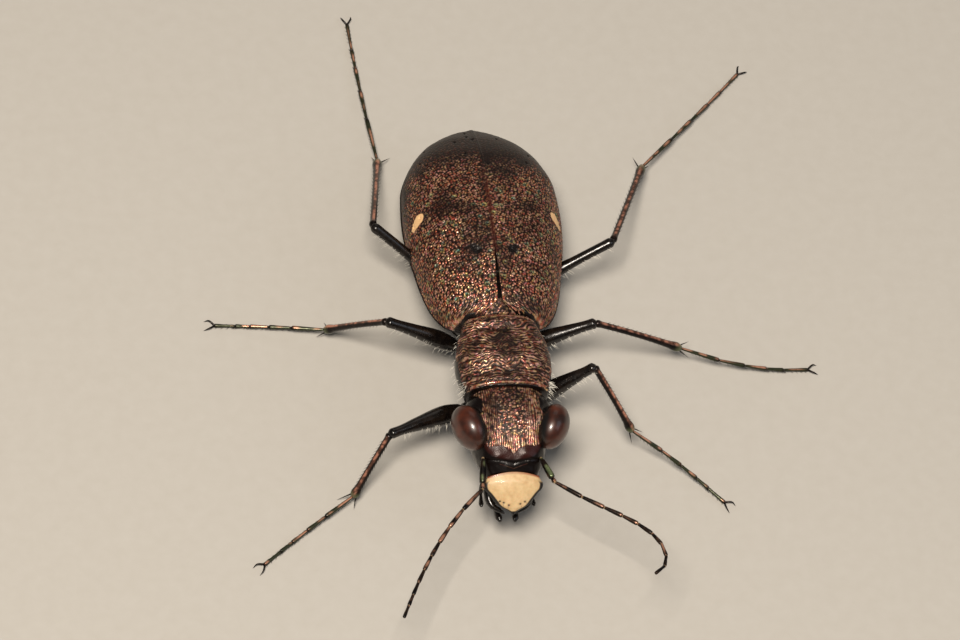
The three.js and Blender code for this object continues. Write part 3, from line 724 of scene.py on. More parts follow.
def pronotum(sizes):
    """The barrel of the first thorax ring: squared rings with two cross furrows, a middle line, and
    cross wrinkles that turn into chevrons near the middle and break up into short crests."""
    s = np.linspace(*PROTHORAX, 210)
    widest = np.full_like(s, THORAX_WIDEST)
    rings = rings_across(s, thorax_half(s), thorax_top(s), widest, belly(s), *THORAX_POWERS, 440)
    x, long, h = np.moveaxis(rings, -1, 0)
    out = abs(x)
    normal = outward(rings)
    flat = np.stack([x, long, h], -1)
    warp = 1.1 * cloud(flat, 0.38, 70) + 0.6 * cloud(flat, 0.13, 71)
    lean = 0.75 * out * bell(out, 0.7) * np.sign(long + 2.2) - 0.16 * (out / 1.7) ** 3
    phase = (long + lean) / sizes.wrinkle + warp
    line_up = (0.5 + 0.5 * np.cos(2 * np.pi * phase)) ** 1.6
    broken = ease(-0.55, 0.35, cloud(flat * (1, 2.2, 1), 0.2, 72))
    fleck, own = grains(flat, 0.12, 75)
    dots = ease(0.5, 0.12, fleck) * own
    middle = bell(x, 0.75)
    ridge = line_up * (0.2 + 0.8 * broken) * (1 - 0.45 * middle) + dots * (0.35 + 0.45 * middle)
    ridge = np.clip(ridge, 0, 1)
    flank = ease(2.42, 2.24, h + 0.08 * cloud(flat, 0.25, 73))
    collar = ease(-3.65, -3.68, long)
    pits = spot(x, long, THORAX_PITS[0], (0.12, 0.1)) + 0.7 * spot(x, long, THORAX_PITS[1], (0.16, 0.12))
    line = bell(x, 0.03) * ease(-3.3, -3.0, long) * ease(-0.9, -1.2, long)
    furrow = bell(long - FRONT_FURROW, 0.028) + 0.7 * bell(long - REAR_FURROW, 0.03)
    hoop = 1.2 * bell(long - FRONT_HOOP, 0.022) + 0.7 * bell(long - REAR_HOOP, 0.03)
    blotch = 0.7 * spot(out, long, THORAX_BLOTCHES[0], (0.2, 0.35))
    blotch = blotch + 0.5 * spot(out, long, THORAX_BLOTCHES[1], (0.2, 0.3))
    blotch = blotch + 0.7 * ease(0.1, 0.6, cloud(flat, 0.6, 76))
    smooth = np.clip(flank + collar, 0, 1)
    dull = np.clip(blotch, 0, 1)
    wrinkles = sizes.wrinkle_height * (ridge - 0.35) * (1 - smooth) * (1 - 0.4 * dull)
    bulge = (
        wrinkles * (1 - np.clip(hoop, 0, 1))
        - 0.06 * pits - 0.012 * line - 0.03 * furrow + 0.015 * hoop + 0.003 * cloud(flat, 0.2, 74)
    )
    rings = rings + normal * bulge[..., None]
    crest = ridge**1.25 * (1 - smooth) * (1 - 0.55 * dull) + hoop * (h > 2.55)
    bare = np.clip(flank + collar + pits + 0.7 * furrow + 0.3 * blotch, 0, 1)
    bare[[0, 1, -1]] = 1
    return loft(rings, crest=np.clip(crest, 0, 1), bare=bare)


temple_line = curve((-5.3, 1.5), (-5.0, 1.22), (-4.6, 1.02), (-4.25, 1.0), (-3.95, 1.15), (-3.72, 1.3))
face_edge = curve((0, -6.21), (0.25, -6.02), (0.55, -5.93), (0.85, -5.9), (1.19, -5.68), (1.6, -5.3))


def head_capsule(sizes):
    """The head: squared rings from the neck to the front of the face. The crown is granulated, with
    lines beside the eyes and a brow raised over each; temples are smooth; the face narrows to a
    point between two dark swellings."""
    s = np.linspace(HEAD_BACK, HEAD_FRONT, 210)
    rings = rings_across(s, skull_half(s), skull_top(s), skull_side(s), skull_bottom(s), *SKULL_POWERS, 400)
    x, long, h = np.moveaxis(rings, -1, 0)
    out = abs(x)
    normal = outward(rings)
    flat = np.stack([x, long, h], -1)
    front = ease(0.02, -0.03, long - face_edge(out) + 0.03 * cloud(flat, 0.1, 94))
    temple = ease(0.0, 0.08, out - temple_line(long) + 0.04 * cloud(flat, 0.1, 97))
    temple = np.maximum(temple, ease(2.0, 1.8, h))
    near, own = grains(flat, sizes.grain * 0.85, 91)
    grain = ease(0.62, 0.14, near) * (0.35 + 0.65 * own)
    wave = cloud(flat * (1, 0.5, 1), 0.18, 92)
    stripe = (0.5 + 0.5 * np.cos(2 * np.pi * (x / 0.08 + 0.6 * wave))) ** 1.8
    stripe = stripe * ease(-0.7, 0.1, cloud(flat, 0.12, 93))
    lined = np.clip(ease(0.4, 0.75, out) + ease(-5.4, -5.8, long), 0, 1) * 0.8
    rough = grain * (1 - lined) + stripe * lined
    bare = np.clip(front + temple, 0, 1)
    plates = spot(out, long, SWELLING, (0.34, 0.2))
    brow = spot(out, long, BROW, (np.where(out < BROW[0], 0.36, 0.2), 0.55)) * ease(1.5, 1.9, h)
    lip_line = bell(long + 6.5 - 0.22 * out, 0.04) * (h > 1.2)
    blotch = spot(x, long, CROWN_BLOTCHES[0], (0.3, 0.22)) + spot(x, long, CROWN_BLOTCHES[1], (0.24, 0.2))
    blotch = blotch + 0.6 * spot(out, long, EYE_BLOTCH, (0.25, 0.35))
    blotch = np.clip(blotch + 0.7 * ease(0.1, 0.6, cloud(flat, 0.55, 95)), 0, 1)
    bulge = (
        sizes.wrinkle_height * 0.75 * (rough - 0.35) * (1 - bare)
        + 0.07 * plates - 0.02 * lip_line + 0.012 * front * cloud(flat, 0.22, 98)
        + 0.09 * spot(out, long, TEMPLE_BULGE, (0.3, 0.25))
        - 0.05 * spot(x, long, CROWN_HOLLOW, (0.3, 0.3)) + 0.004 * cloud(flat, 0.15, 96)
    )
    rings = rings + normal * bulge[..., None] + 0.52 * brow[..., None] * (0, 0, 1)
    # The brow term adds a painted highlight line along each brow
    crest = rough * (1 - bare) * (1 - 0.6 * blotch) + 0.6 * bell(out - 1.15, 0.03) * brow
    # Painted highlight: a bright line along the front edge of the face above the lip
    shine = 0.8 * bell(long + 6.64 - 0.28 * out, 0.02) * ease(0.6, 0.5, out) * (h > 1.2)
    return loft(rings, crest=np.clip(crest + shine, 0, 1), rust=0.8 * front * (1 - shine),
                bare=np.clip(temple + 0.6 * front + 0.3 * blotch - shine, 0, 1))


def compound_eye(side):
    """An eye: an egg shape whose front end leans in, with painted shade where it meets the head."""
    turn = np.linspace(0, 2 * np.pi, 96, endpoint=False)
    rise = np.linspace(-np.pi / 2, np.pi / 2, 72)[1:-1, None]
    ball = np.stack([
        np.broadcast_to(np.sin(rise), (len(rise), len(turn))),
        np.cos(rise) * np.cos(turn),
        np.cos(rise) * np.sin(turn),
    ], -1)
    rings = np.array(EYE_MIDDLE) + ball * np.array(EYE_HALF)
    rings[..., 0] += EYE_LEAN * (rings[..., 1] - EYE_MIDDLE[1])
    return loft(rings * (side, 1, 1), rim=ease(-0.1, -0.5, ball[..., 0]))


LIP_SLOPE = math.radians(43)
LIP_LENGTH = 1.62
LIP_HEIGHT = 1.52
LIP_THICKNESS = 0.11
LIP_CROWN = 0.17
LIP_SLIT = 0.6  # how far down the lip its slit is
LIP_PITS = ((-0.52, 1.1), (-0.38, 1.15), (-0.19, 1.24), (0.24, 1.2), (0.42, 1.12))
lip_half = curve((0, 0.96), (0.25, 1.04), (0.5, 1.12), (0.62, 1.1), (0.83, 0.93), (1.1, 0.72), (1.22, 0.63),
                 (1.32, 0.51), (1.42, 0.32), (1.52, 0.15), (1.62, 0.03))


def on_lip(across, down, lift):
    """A point of the lip in the body's frame, from its place across and down its slope."""
    return np.stack([
        across,
        LIP_BASE - down * math.cos(LIP_SLOPE) - lift * math.sin(LIP_SLOPE),
        LIP_HEIGHT - down * math.sin(LIP_SLOPE) + lift * math.cos(LIP_SLOPE),
    ], -1)


def upper_lip():
    """The upper lip: flat rings down its slope, crowned across, with a dark raised edge, a tooth in
    the middle of its front, a slit, and a row of bristle pits."""
    v = np.linspace(0, LIP_LENGTH, 120)[:, None]
    half = lip_half(v)
    turn = np.linspace(0, 2 * np.pi, 170, endpoint=False)
    across, up = squircle(turn, 3.2)
    thick = LIP_THICKNESS * (1 - 0.45 * ease(1.2, LIP_LENGTH, v))
    w = half * across
    crown = LIP_CROWN * (1 - across**2) * (half / 1.08) ** 0.5 * ease(-0.15, 0.4, v)
    edge = ease(0.17, 0.11, (1 - abs(across)) * half) * ease(0.2, 0.45, v)
    edge = np.maximum(edge, ease(1.46, 1.5, v))
    slit = spot(w, v, (0.06 * (v - LIP_SLIT), LIP_SLIT), (0.02, 0.09))
    pits = sum(np.exp(-(((w - a) ** 2 + (v - b) ** 2) / 0.036**2)) for a, b in LIP_PITS)
    lift = thick * up + crown + 0.08
    lift = lift + (up > 0) * (-0.03 * slit - 0.02 * pits + 0.012 * edge)
    down = v + 0.2 * across**2 * ease(0.55, 0, v)
    root = ease(0.12, 0.02, v) * (0.55 + 0.45 * abs(across))
    return loft(on_lip(w, down, lift), root=root, edge=np.clip(edge + slit + 1.3 * pits, 0, 1))


MOUTH = {
    "mandible": {
        "path": ((0.52, -5.9, 0.32), (0.76, -6.5, 0.22), (0.68, -7.1, 0.02), (0.2, -7.45, -0.1)),
        "size": curve((0, 0.22), (0.5, 0.17), (0.8, 0.11), (0.93, 0.07), (1, 0.02)),
    },
    "palp_maxillary": {
        "path": ((0.72, -5.2, -0.05), (0.86, -5.8, -0.4), (0.95, -6.4, -0.42), (1.0, -6.97, -0.34)),
        "size": curve((0, 0.06), (0.3, 0.09), (0.34, 0.05), (0.62, 0.085), (0.66, 0.05), (0.93, 0.09),
                      (1, 0.04)),
    },
    "palp_labial": {
        "path": ((0.3, -5.0, -0.1), (0.4, -5.8, -0.6), (0.42, -6.6, -0.78), (0.28, -7.4, -0.7)),
        "size": curve((0, 0.1), (0.34, 0.11), (0.38, 0.06), (0.62, 0.08), (0.66, 0.055), (0.93, 0.135),
                      (1, 0.06)),
    },
}


JAW_TEETH = [44, 52, 59]  # the points of the jaw's path that carry a tooth


def mouthpart(kind, side):
    """A jaw or palp: round rings along its path; a palp's joints are narrow, a jaw has three teeth."""
    path, share = along_path(MOUTH[kind]["path"], 70)
    rings = tube_rings(path, MOUTH[kind]["size"](share), 20)
    skins = [loft(rings * (side, 1, 1))]
    if kind == "mandible":
        roots = path[JAW_TEETH]
        tips = roots + ((-0.34, -0.06, 0.04), (-0.28, -0.1, 0.02), (-0.2, -0.12, 0.0))
        skins.append(spikes(roots * (side, 1, 1), tips * (side, 1, 1), 0.09, sides=8))
    return joined(skins)


# Legs: sockets and hips in the body's frame for the right side; knees, ankles and toes in the room

TOE_HEIGHT = 0.12
FOOT_SHARES = (0.31, 0.2, 0.17, 0.13, 0.19)
CLAW = 0.42
THIGH_BOW = 0.1
SPINE_ROWS = ((1, 0.3), (-1, 0.3), (0.5, -0.9), (-0.5, -0.9))  # each row's way, aside and up
JOINT_SPINES = ((1, -0.5), (-1, -0.5), (0.5, -1), (-0.5, -1))
LEGS = {
    "front": {
        "socket": (0.5, -2.45, 0.42), "hip": (1.0, -2.75, 0.05), "thigh": 0.37, "knee_size": 0.19,
        "left": dict(knee=(-4.29, -4.24, 3.0), ankle=(-5.5, -5.53, 0.55), toe=(-9.01, -8.13), bow=-0.05),
        "right": dict(knee=(3.42, -2.33, 4.5), ankle=(5.12, -3.57, 1.75), toe=(8.74, -5.88), bow=0.22),
    },
    "mid": {
        "socket": (0.5, 0.3, 0.4), "hip": (0.98, -0.15, 0.05), "thigh": 0.34, "knee_size": 0.2,
        "left": dict(knee=(-4.13, 0.24, 3.6), ankle=(-6.03, 1.64, 0.55), toe=(-10.25, 2.13), bow=-0.06),
        "right": dict(knee=(3.85, 0.15, 3.45), ankle=(7.48, 0.27, 1.2), toe=(12.65, -0.17), bow=-0.22),
    },
    "hind": {
        "socket": (0.45, 2.25, 0.3), "hip": (1.0, 2.3, 0.0), "thigh": 0.27, "knee_size": 0.19,
        "left": dict(knee=(-4.37, 4.3, 3.8), ankle=(-3.47, 9.11, 0.62), toe=(-4.11, 15.75), bow=0.05),
        "right": dict(knee=(4.85, 3.65, 3.57), ankle=(6.89, 8.51, 0.98), toe=(11.4, 13.32), bow=-0.01),
    },
}


def hip_points(pair, side):
    """The socket and hip of a leg, in the room."""
    return to_room(np.array([LEGS[pair]["socket"], LEGS[pair]["hip"]]) * (side, 1, 1))


def foot_joints(pose):
    """The joints of a foot: from the ankle it settles onto the floor, bowed sideways on its way."""
    start = np.array(pose["ankle"])
    end = np.array([*pose["toe"], TOE_HEIGHT])
    aside = np.array([start[1] - end[1], end[0] - start[0], 0.0])
    aside /= np.linalg.norm(aside)
    share = np.r_[0, np.cumsum(FOOT_SHARES)]
    line = start + (end - start) * share[:, None]
    line = line + 4 * pose["bow"] * (share * (1 - share))[:, None] * aside
    line[:, 2] = TOE_HEIGHT + (start[2] - TOE_HEIGHT) * np.clip(1 - share, 0, 1) ** 1.4
    return line


def unit(vector):
    """A vector of length 1 that points the same way."""
    return np.asarray(vector) / np.linalg.norm(vector)


def coxa(pair, side):
    """The hip's own joint: a swollen cone from its socket to the hip."""
    socket, hip = hip_points(pair, side)
    path, share = along_path([socket - 0.25 * (hip - socket), hip], 30)
    size = curve((0, 0.2), (0.3, 0.44), (0.7, 0.42), (0.93, 0.3), (1, 0.16))(share)
    return loft(tube_rings(path, size, 32, across=(0.1, 1, 0)))


def femur(pair, side, pose):
    """The thigh: a spindle from a small ring at the hip, widest at a third, bowed up a little."""
    leg = LEGS[pair]
    hip = hip_points(pair, side)[1]
    knee = np.array(pose["knee"])
    path, share = along_path([hip, knee + 0.06 * unit(knee - hip)], 90)
    size = curve((0, 0.14), (0.035, 0.24), (0.085, 0.25), (0.1, 0.17), (0.16, 0.27), (0.34, leg["thigh"]),
                 (0.65, leg["thigh"] * 0.72), (0.88, leg["knee_size"]), (0.96, leg["knee_size"] * 1.05),
                 (1, 0.09))
    path = path + (THIGH_BOW * np.sin(np.pi * share))[:, None] * (0, 0, 1)
    return loft(tube_rings(path, size(share), 36))


def tibia(side, pose):
    """The shin: a slender bar, wider to its end, with two spurs and rows of spines along it."""
    knee, ankle = np.array(pose["knee"]), np.array(pose["ankle"])
    path, share = along_path([knee - 0.02 * unit(ankle - knee), ankle], 80)
    size = curve((0, 0.07), (0.03, 0.15), (0.08, 0.125), (0.5, 0.12), (0.85, 0.14), (0.95, 0.185),
                 (1, 0.13))
    path = path + (0.07 * np.sin(np.pi * share))[:, None] * (0, 0, 1)
    rings = tube_rings(path, size(share), 28)
    ahead = unit(ankle - knee)
    aside = unit(np.cross(ahead, (0, 0, 1)))
    lift = np.cross(aside, ahead)
    turn = np.linspace(0, 2 * np.pi, 28, endpoint=False)
    # Painted highlight: a broken copper streak along the upper side of the shin
    stripe = ease(0.84, 1.0, np.sin(turn))[None, :] * ease(0.02, 0.1, share)[:, None]
    stripe = stripe * (0.2 + 0.8 * ease(-0.3, 0.3, cloud(rings, 0.12, 300)))
    green = np.broadcast_to(ease(0.9, 0.98, share)[:, None] * 0.3, rings.shape[:2])
    skins = [loft(rings, green=green, copper=stripe * (1 - green))]
    across = np.array([-ahead[1], ahead[0], 0]) / np.hypot(ahead[0], ahead[1])
    roots = ankle - 0.06 * ahead + 0.09 * side * across * np.array([[1], [-0.6]]) - 0.05 * lift
    tips = roots + 0.7 * ahead * np.array([[1], [0.75]]) + side * across * np.array([[0.42], [-0.2]])
    tips[:, 2] = np.maximum(tips[:, 2] - 0.05, 0.04)
    skins.append(spikes(roots, tips, 0.032, sides=7))
    along = np.linspace(0.12, 0.93, 16)
    for row, (sx, sz) in enumerate(SPINE_ROWS):
        t = along + 0.012 * row
        base = np.stack([np.interp(t, share, path[:, k]) for k in range(3)], -1)
        out = unit(sx * aside + sz * lift)
        skins.append(spikes(base + 0.08 * out, base + 0.2 * out + 0.22 * ahead, 0.013, steps=4, sides=4))
    return joined(skins)


def tarsus(pose):
    """The foot: five joints, each flaring to its end, with spines at each joint and two claws."""
    joints = foot_joints(pose)
    skins = []
    for i, (a, b) in enumerate(zip(joints[:-1], joints[1:])):
        long = np.linalg.norm(b - a)
        wide = 0.092 - 0.004 * i
        path, share = along_path([a - 0.01 * unit(b - a), b], 26)
        flare = curve((0, 0.035), (0.06, 0.055), (0.5, wide * 0.8), (0.9, wide), (0.97, wide * 0.95),
                      (1, 0.05))
        rings = tube_rings(path, flare(share), 16)
        dark = 1 - ease(0.0, 0.12, share) * ease(1.0, 0.85, share)
        dark = np.broadcast_to(dark[:, None], rings.shape[:2])
        # Painted highlight: a broken copper streak along the upper side of each foot joint
        top = ease(0.7, 1.0, np.sin(np.linspace(0, 2 * np.pi, 16, endpoint=False)))
        painted_highlight_streak = top * (1 - dark) * ease(-0.2, 0.4, cloud(rings, 0.3, 310))
        skins.append(loft(rings, green=0.1 * (1 - dark), copper=0.9 * painted_highlight_streak))
        ahead = unit(b - a)
        aside = unit(np.cross(ahead, (0, 0, 1)))
        lift = np.cross(aside, ahead)
        if i < 4:
            outs = np.array([unit(aside * c + lift * d) for c, d in JOINT_SPINES])
            root = b - 0.04 * ahead + 0.05 * outs
            tip = root + 0.2 * ahead + 0.07 * outs
            tip[:, 2] = np.maximum(tip[:, 2], 0.01)
            skins.append(spikes(root, tip, 0.014, steps=4, sides=4))
        t = np.linspace(0.3, 0.85, max(2, int(long / 0.22)))
        spine = a + (b - a) * t[:, None]
        for c in (1, -1):
            out = unit(c * aside - 0.5 * lift)
            tips = spine + 0.14 * out + 0.12 * ahead
            tips[:, 2] = np.maximum(tips[:, 2], 0.01)
            skins.append(spikes(spine + 0.05 * out, tips, 0.009, steps=3, sides=4))
    ahead = unit((joints[5] - joints[4]) * (1, 1, 0))
    aside = np.array([-ahead[1], ahead[0], 0])
    for way in (-1, 1):
        root = joints[5] - 0.03 * ahead
        middle = root + 0.55 * CLAW * ahead + way * 0.17 * aside + (0, 0, 0.06)
        end = root + CLAW * ahead + way * 0.2 * aside
        end[2] = 0.03
        path, share = along_path([root, middle, end], 20)
        skins.append(loft(tube_rings(path, 0.035 * (1 - share**2) + 0.004, 10)))
    return joined(skins)


# Feelers: each joint's share of the length, and the direction of the long part from root to tip

FEELER_LENGTH = 7.3
FEELER_JOINTS = (21, 5, 31, 24.5, 20, 17, 17.5, 15, 14.5, 12.5, 14)
FEELER_ROOT = (1.13, -6.4, 1.75)
FEELERS = {
    "left": {"scape": (4, -12), "turn": (46, 16), "curl": 8, "rise": (1, 1)},
    "right": {"scape": (19, 9), "turn": (51, 75), "curl": -146, "rise": (5, 10)},
}


def feeler_points(side, pose):
    """Joints of a feeler: steps whose heading turns evenly along the long part."""
    sizes = np.array(FEELER_JOINTS, float)
    whip = sizes[2:].sum()
    t = (np.cumsum(sizes[2:]) - sizes[2:] / 2) / whip
    out = pose["turn"][0] + (pose["turn"][1] - pose["turn"][0]) * t + pose["curl"] * t**4
    up = pose["rise"][0] + (pose["rise"][1] - pose["rise"][0]) * t
    out = np.radians(np.r_[pose["scape"][0], pose["scape"][0], out])
    up = np.radians(np.r_[pose["scape"][1], pose["scape"][1], up])
    steps = np.stack([side * np.sin(out) * np.cos(up), -np.cos(out) * np.cos(up), np.sin(up)], -1)
    steps *= (sizes / sizes.sum() * FEELER_LENGTH)[:, None]
    root = to_room(np.array(FEELER_ROOT) * (side, 1, 1))
    return np.concatenate([root[None], root + np.cumsum(steps, 0)])


def feeler(side, pose):
    """A feeler: eleven joints, each a bar that flares to its end and starts in a narrow pale neck."""
    joints = feeler_points(side, pose)
    skins = []
    for i, (a, b) in enumerate(zip(joints[:-1], joints[1:])):
        ahead = unit(b - a)
        start = a - (0.22 if i == 0 else 0.015) * ahead
        path, share = along_path([start, b], 30)
        wide = 0.13 if i == 0 else 0.092 if i < 5 else 0.088 - 0.004 * (i - 5)
        flare = curve((0, 0.045), (0.05, 0.06), (0.25, wide * 0.8), (0.85, wide), (0.96, wide * 0.9),
                      (1, 0.05))
        rings = tube_rings(path, flare(share), 18)
        neck = np.broadcast_to(ease(0.08, 0.02, share)[:, None], rings.shape[:2])
        patch = ease(-0.2, 0.5, cloud(rings, 0.25, 320 + i))
        # Painted highlight along the upper side of each joint: copper, and green on the first joint
        painted_highlight_streak = ease(0.6, 1.0, np.sin(np.linspace(0, 2 * np.pi, 18, endpoint=False)))
        green = (0.55 if i == 0 else 0.1) * patch * painted_highlight_streak
        skins.append(loft(rings, pale=neck, green=green, copper=0.7 * painted_highlight_streak * patch * (i > 0)))
    return joined(skins)


# Where the abdomen's five plates meet
ABDOMEN_FRONT, ABDOMEN_REAR = 3.36, 8.15
ABDOMEN_GROOVES = [ABDOMEN_FRONT + (ABDOMEN_REAR - ABDOMEN_FRONT) / 5 * k for k in range(1, 5)]


def rear_body(first, last, plates):
    """The body under the wing cases: squared rings with a shallow groove between plates."""
    s = np.linspace(first, last, max(24, int((last - first) * 22)))
    inside = 0.3
    groove = sum((bell(s - p, 0.045) for p in plates), 0 * s)
    rings = rings_across(s, case_half(s) - inside - 0.05 * groove, case_top(s) - inside,
                         case_margin(s) - 0.08, belly(s) + 0.07 * groove, 2.3, 1.8, 150)
    ends = ease(first - 0.01, first + 0.2, s) ** 0.5 * ease(last + 0.01, last - 0.2, s) ** 0.5
    middle = rings.mean(1, keepdims=True)
    return loft(middle + (rings - middle) * (0.8 + 0.2 * ends)[:, None, None])


def scutellum():
    """The small triangle between the wing cases: a low pointed plate with fine relief, and a painted
    highlight along its side edges.
    """
    s = np.linspace(-0.58, 0.12, 60)[:, None]
    w = np.linspace(-1, 1, 70)
    x = curve((-0.58, 0.66), (-0.4, 0.56), (0.12, 0.03))(s) * w
    long = np.broadcast_to(s, x.shape)
    rise = case_top(s) - 0.02 - 0.1 * w**2 * ease(0.2, -0.4, s) - 0.25 * ease(-0.42, -0.6, s)
    near, own = grains(np.stack([x, long, rise], -1), 0.1, 120)
    rough = np.clip(1 - (near / 0.6) ** 2, 0, 1) * own
    over = np.stack([x, long, rise + 0.018 * rough], -1)
    under = np.stack([x * 0.9, long, rise - 0.3], -1)[:, ::-1]
    # Painted highlight: bright lines along both side edges of the plate
    rim = np.r_[bell(abs(w) - 0.93, 0.05), 0 * w] * 0.8
    crest = np.concatenate([rough, 0 * rough], 1) + rim
    return loft(np.concatenate([over, under], 1), crest=np.clip(crest, 0, 1))


# Bristles: half the width of each one's patch on the map, rows on a thigh, and counts on the thorax

BRISTLE_SIDES = 3
BRISTLE_PATCH = 0.0015
THIGH_ROWS = ((1, 0.15, 12), (0.9, -0.5, 12), (0.2, -1, 8))  # each row's way, forward and up, and count
FLANK_BRISTLES, CORNER_BRISTLES = 36, 16


def bristles(roots, ways, lengths, radius, places, seed):
    """Bristles as curved cones, 3-sided: from each root along its way, bent a little downwards. Each
    one's faces fill a small patch of the map, at its root's place on the skin's own unwrap."""
    rng = np.random.default_rng(seed)
    ways = ways / np.linalg.norm(ways, axis=1, keepdims=True)
    ways = ways + 0.18 * rng.normal(size=ways.shape)
    ways /= np.linalg.norm(ways, axis=1, keepdims=True)
    lengths = lengths * rng.uniform(0.75, 1.2, len(roots))
    skin = spikes(roots - 0.02 * ways, roots + ways * lengths[:, None], radius, sides=BRISTLE_SIDES,
                  bend=rng.uniform(0.02, 0.12, len(roots)))
    size = len(skin.points) // len(roots)
    k = np.arange(size)
    patch = BRISTLE_PATCH * np.stack([np.cos(2 * np.pi * k / BRISTLE_SIDES), k / size * 2 - 1], -1)
    skin.map = (places[:, None] + patch).reshape(-1, 2)
    return skin


def thigh_bristles():
    """White bristles in rows along the front and lower edges of the thighs. Each thigh has its own
    strip of the map: across for the leg, along for the place between hip and knee."""
    skins = []
    for number, (pair, (name, side)) in enumerate(itertools.product(PAIRS, SIDES)):
        hip, knee = hip_points(pair, side)[1], np.array(LEGS[pair][name]["knee"])
        thick, knee_size = LEGS[pair]["thigh"], LEGS[pair]["knee_size"]
        rng = np.random.default_rng(500 + number)
        ahead = unit(knee - hip)
        aside = unit(np.cross(ahead, (0, 0, 1)))
        lift = np.cross(aside, ahead)
        front = aside * np.sign(-aside[1])
        size = curve((0, 0.2), (0.16, 0.25), (0.34, thick * 0.96), (0.65, thick * 0.7), (1, knee_size))
        for row, (forward, down, count) in enumerate(THIGH_ROWS):
            t = np.sort(rng.uniform(0.12, 0.95, count))
            bow = THIGH_BOW * np.sin(np.pi * t)
            out = unit(forward * front + down * lift)
            roots = hip + (knee - hip) * t[:, None] + bow[:, None] * (0, 0, 1) + size(t)[:, None] * out
            ways = np.broadcast_to(out + 0.55 * ahead, roots.shape)
            strip = np.full(count, (number + 0.2 + 0.25 * row) / 6)
            places = np.stack([strip, 0.05 + 0.9 * t], -1)
            seed = 600 + number * 3 + row
            skins.append(bristles(roots, ways, np.full(count, 0.3), 0.0075, places, seed))
    return joined(skins)


def body_bristles():
    """White bristles on the sides and front corners of the thorax ring, set on its squared shape:
    across and along the body are the two ways of the map."""
    rng = np.random.default_rng(901)
    skins = []
    for _, side in SIDES:
        s = rng.uniform(-3.55, -0.8, FLANK_BRISTLES)
        turn = np.radians(rng.uniform(-35, 12, FLANK_BRISTLES))
        x = thorax_half(s) * np.cos(turn) ** (2 / 2.1)
        reach = np.where(turn > 0, thorax_top(s) - THORAX_WIDEST, THORAX_WIDEST - belly(s))
        h = THORAX_WIDEST + reach * np.sin(turn)
        corner = rng.uniform(0, 1, CORNER_BRISTLES)
        s = np.r_[s, -3.6 + 0.35 * corner]
        x = np.r_[x, 1.56 + 0.03 * corner]
        h = np.r_[h, rng.uniform(THORAX_WIDEST, 2.62, CORNER_BRISTLES)]
        roots = to_room(np.stack([side * x, s, h], -1))
        ways = np.stack([side * np.full(len(s), 0.75), np.full(len(s), -0.6),
                         rng.uniform(-0.3, 0.35, len(s))], -1)
        lengths = np.repeat([0.24, 0.36], [FLANK_BRISTLES, CORNER_BRISTLES])
        places = np.stack([0.5 + side * (0.1 + 0.1 * x), 0.5 + 0.1 * (s + 2)], -1)
        skins.append(bristles(roots, ways, lengths, 0.01, places, 910 + side))
    return joined(skins)


def lip_bristles():
    """Fine dark bristles that stand forward from the pits of the lip."""
    at = np.array(LIP_PITS)
    roots = to_room(on_lip(at[:, 0], at[:, 1], 0.2))
    ways = np.stack([at[:, 0] * 0.6, np.full(len(at), -0.9), np.full(len(at), 0.1)], -1)
    return bristles(roots, ways, np.full(len(at), 0.36), 0.006, 0.5 + 0.1 * at, 930)


# Settings that a user would change


class BeetleSizes(bpy.types.PropertyGroup):
    """Sizes of the relief, in millimetres, and how finely the wing cases are meshed."""

    grain: bpy.props.FloatProperty(
        name="Grain", description="Spacing of the grains, mm", default=0.108, min=0.05)
    grain_height: bpy.props.FloatProperty(
        name="Grain height", description="Height of a grain, mm", default=0.036)
    fovea_spacing: bpy.props.FloatProperty(
        name="Pits", description="Spacing of the shining pits, mm", default=0.44)
    wrinkle: bpy.props.FloatProperty(
        name="Wrinkles", description="Spacing of thorax wrinkles, mm", default=0.13)
    wrinkle_height: bpy.props.FloatProperty(
        name="Wrinkle height", description="Height of a wrinkle, mm", default=0.032)
    case_rows: bpy.props.IntProperty(
        name="Rows", description="Mesh rows along a wing case", default=440)
    case_columns: bpy.props.IntProperty(
        name="Columns", description="Mesh columns over a wing case", default=196)


def colour(name, code, description):
    """A colour a user can change, given as an sRGB hex code."""
    return bpy.props.FloatVectorProperty(
        name=name, description=description, default=linear(code), subtype="COLOR", size=4, min=0, max=1)


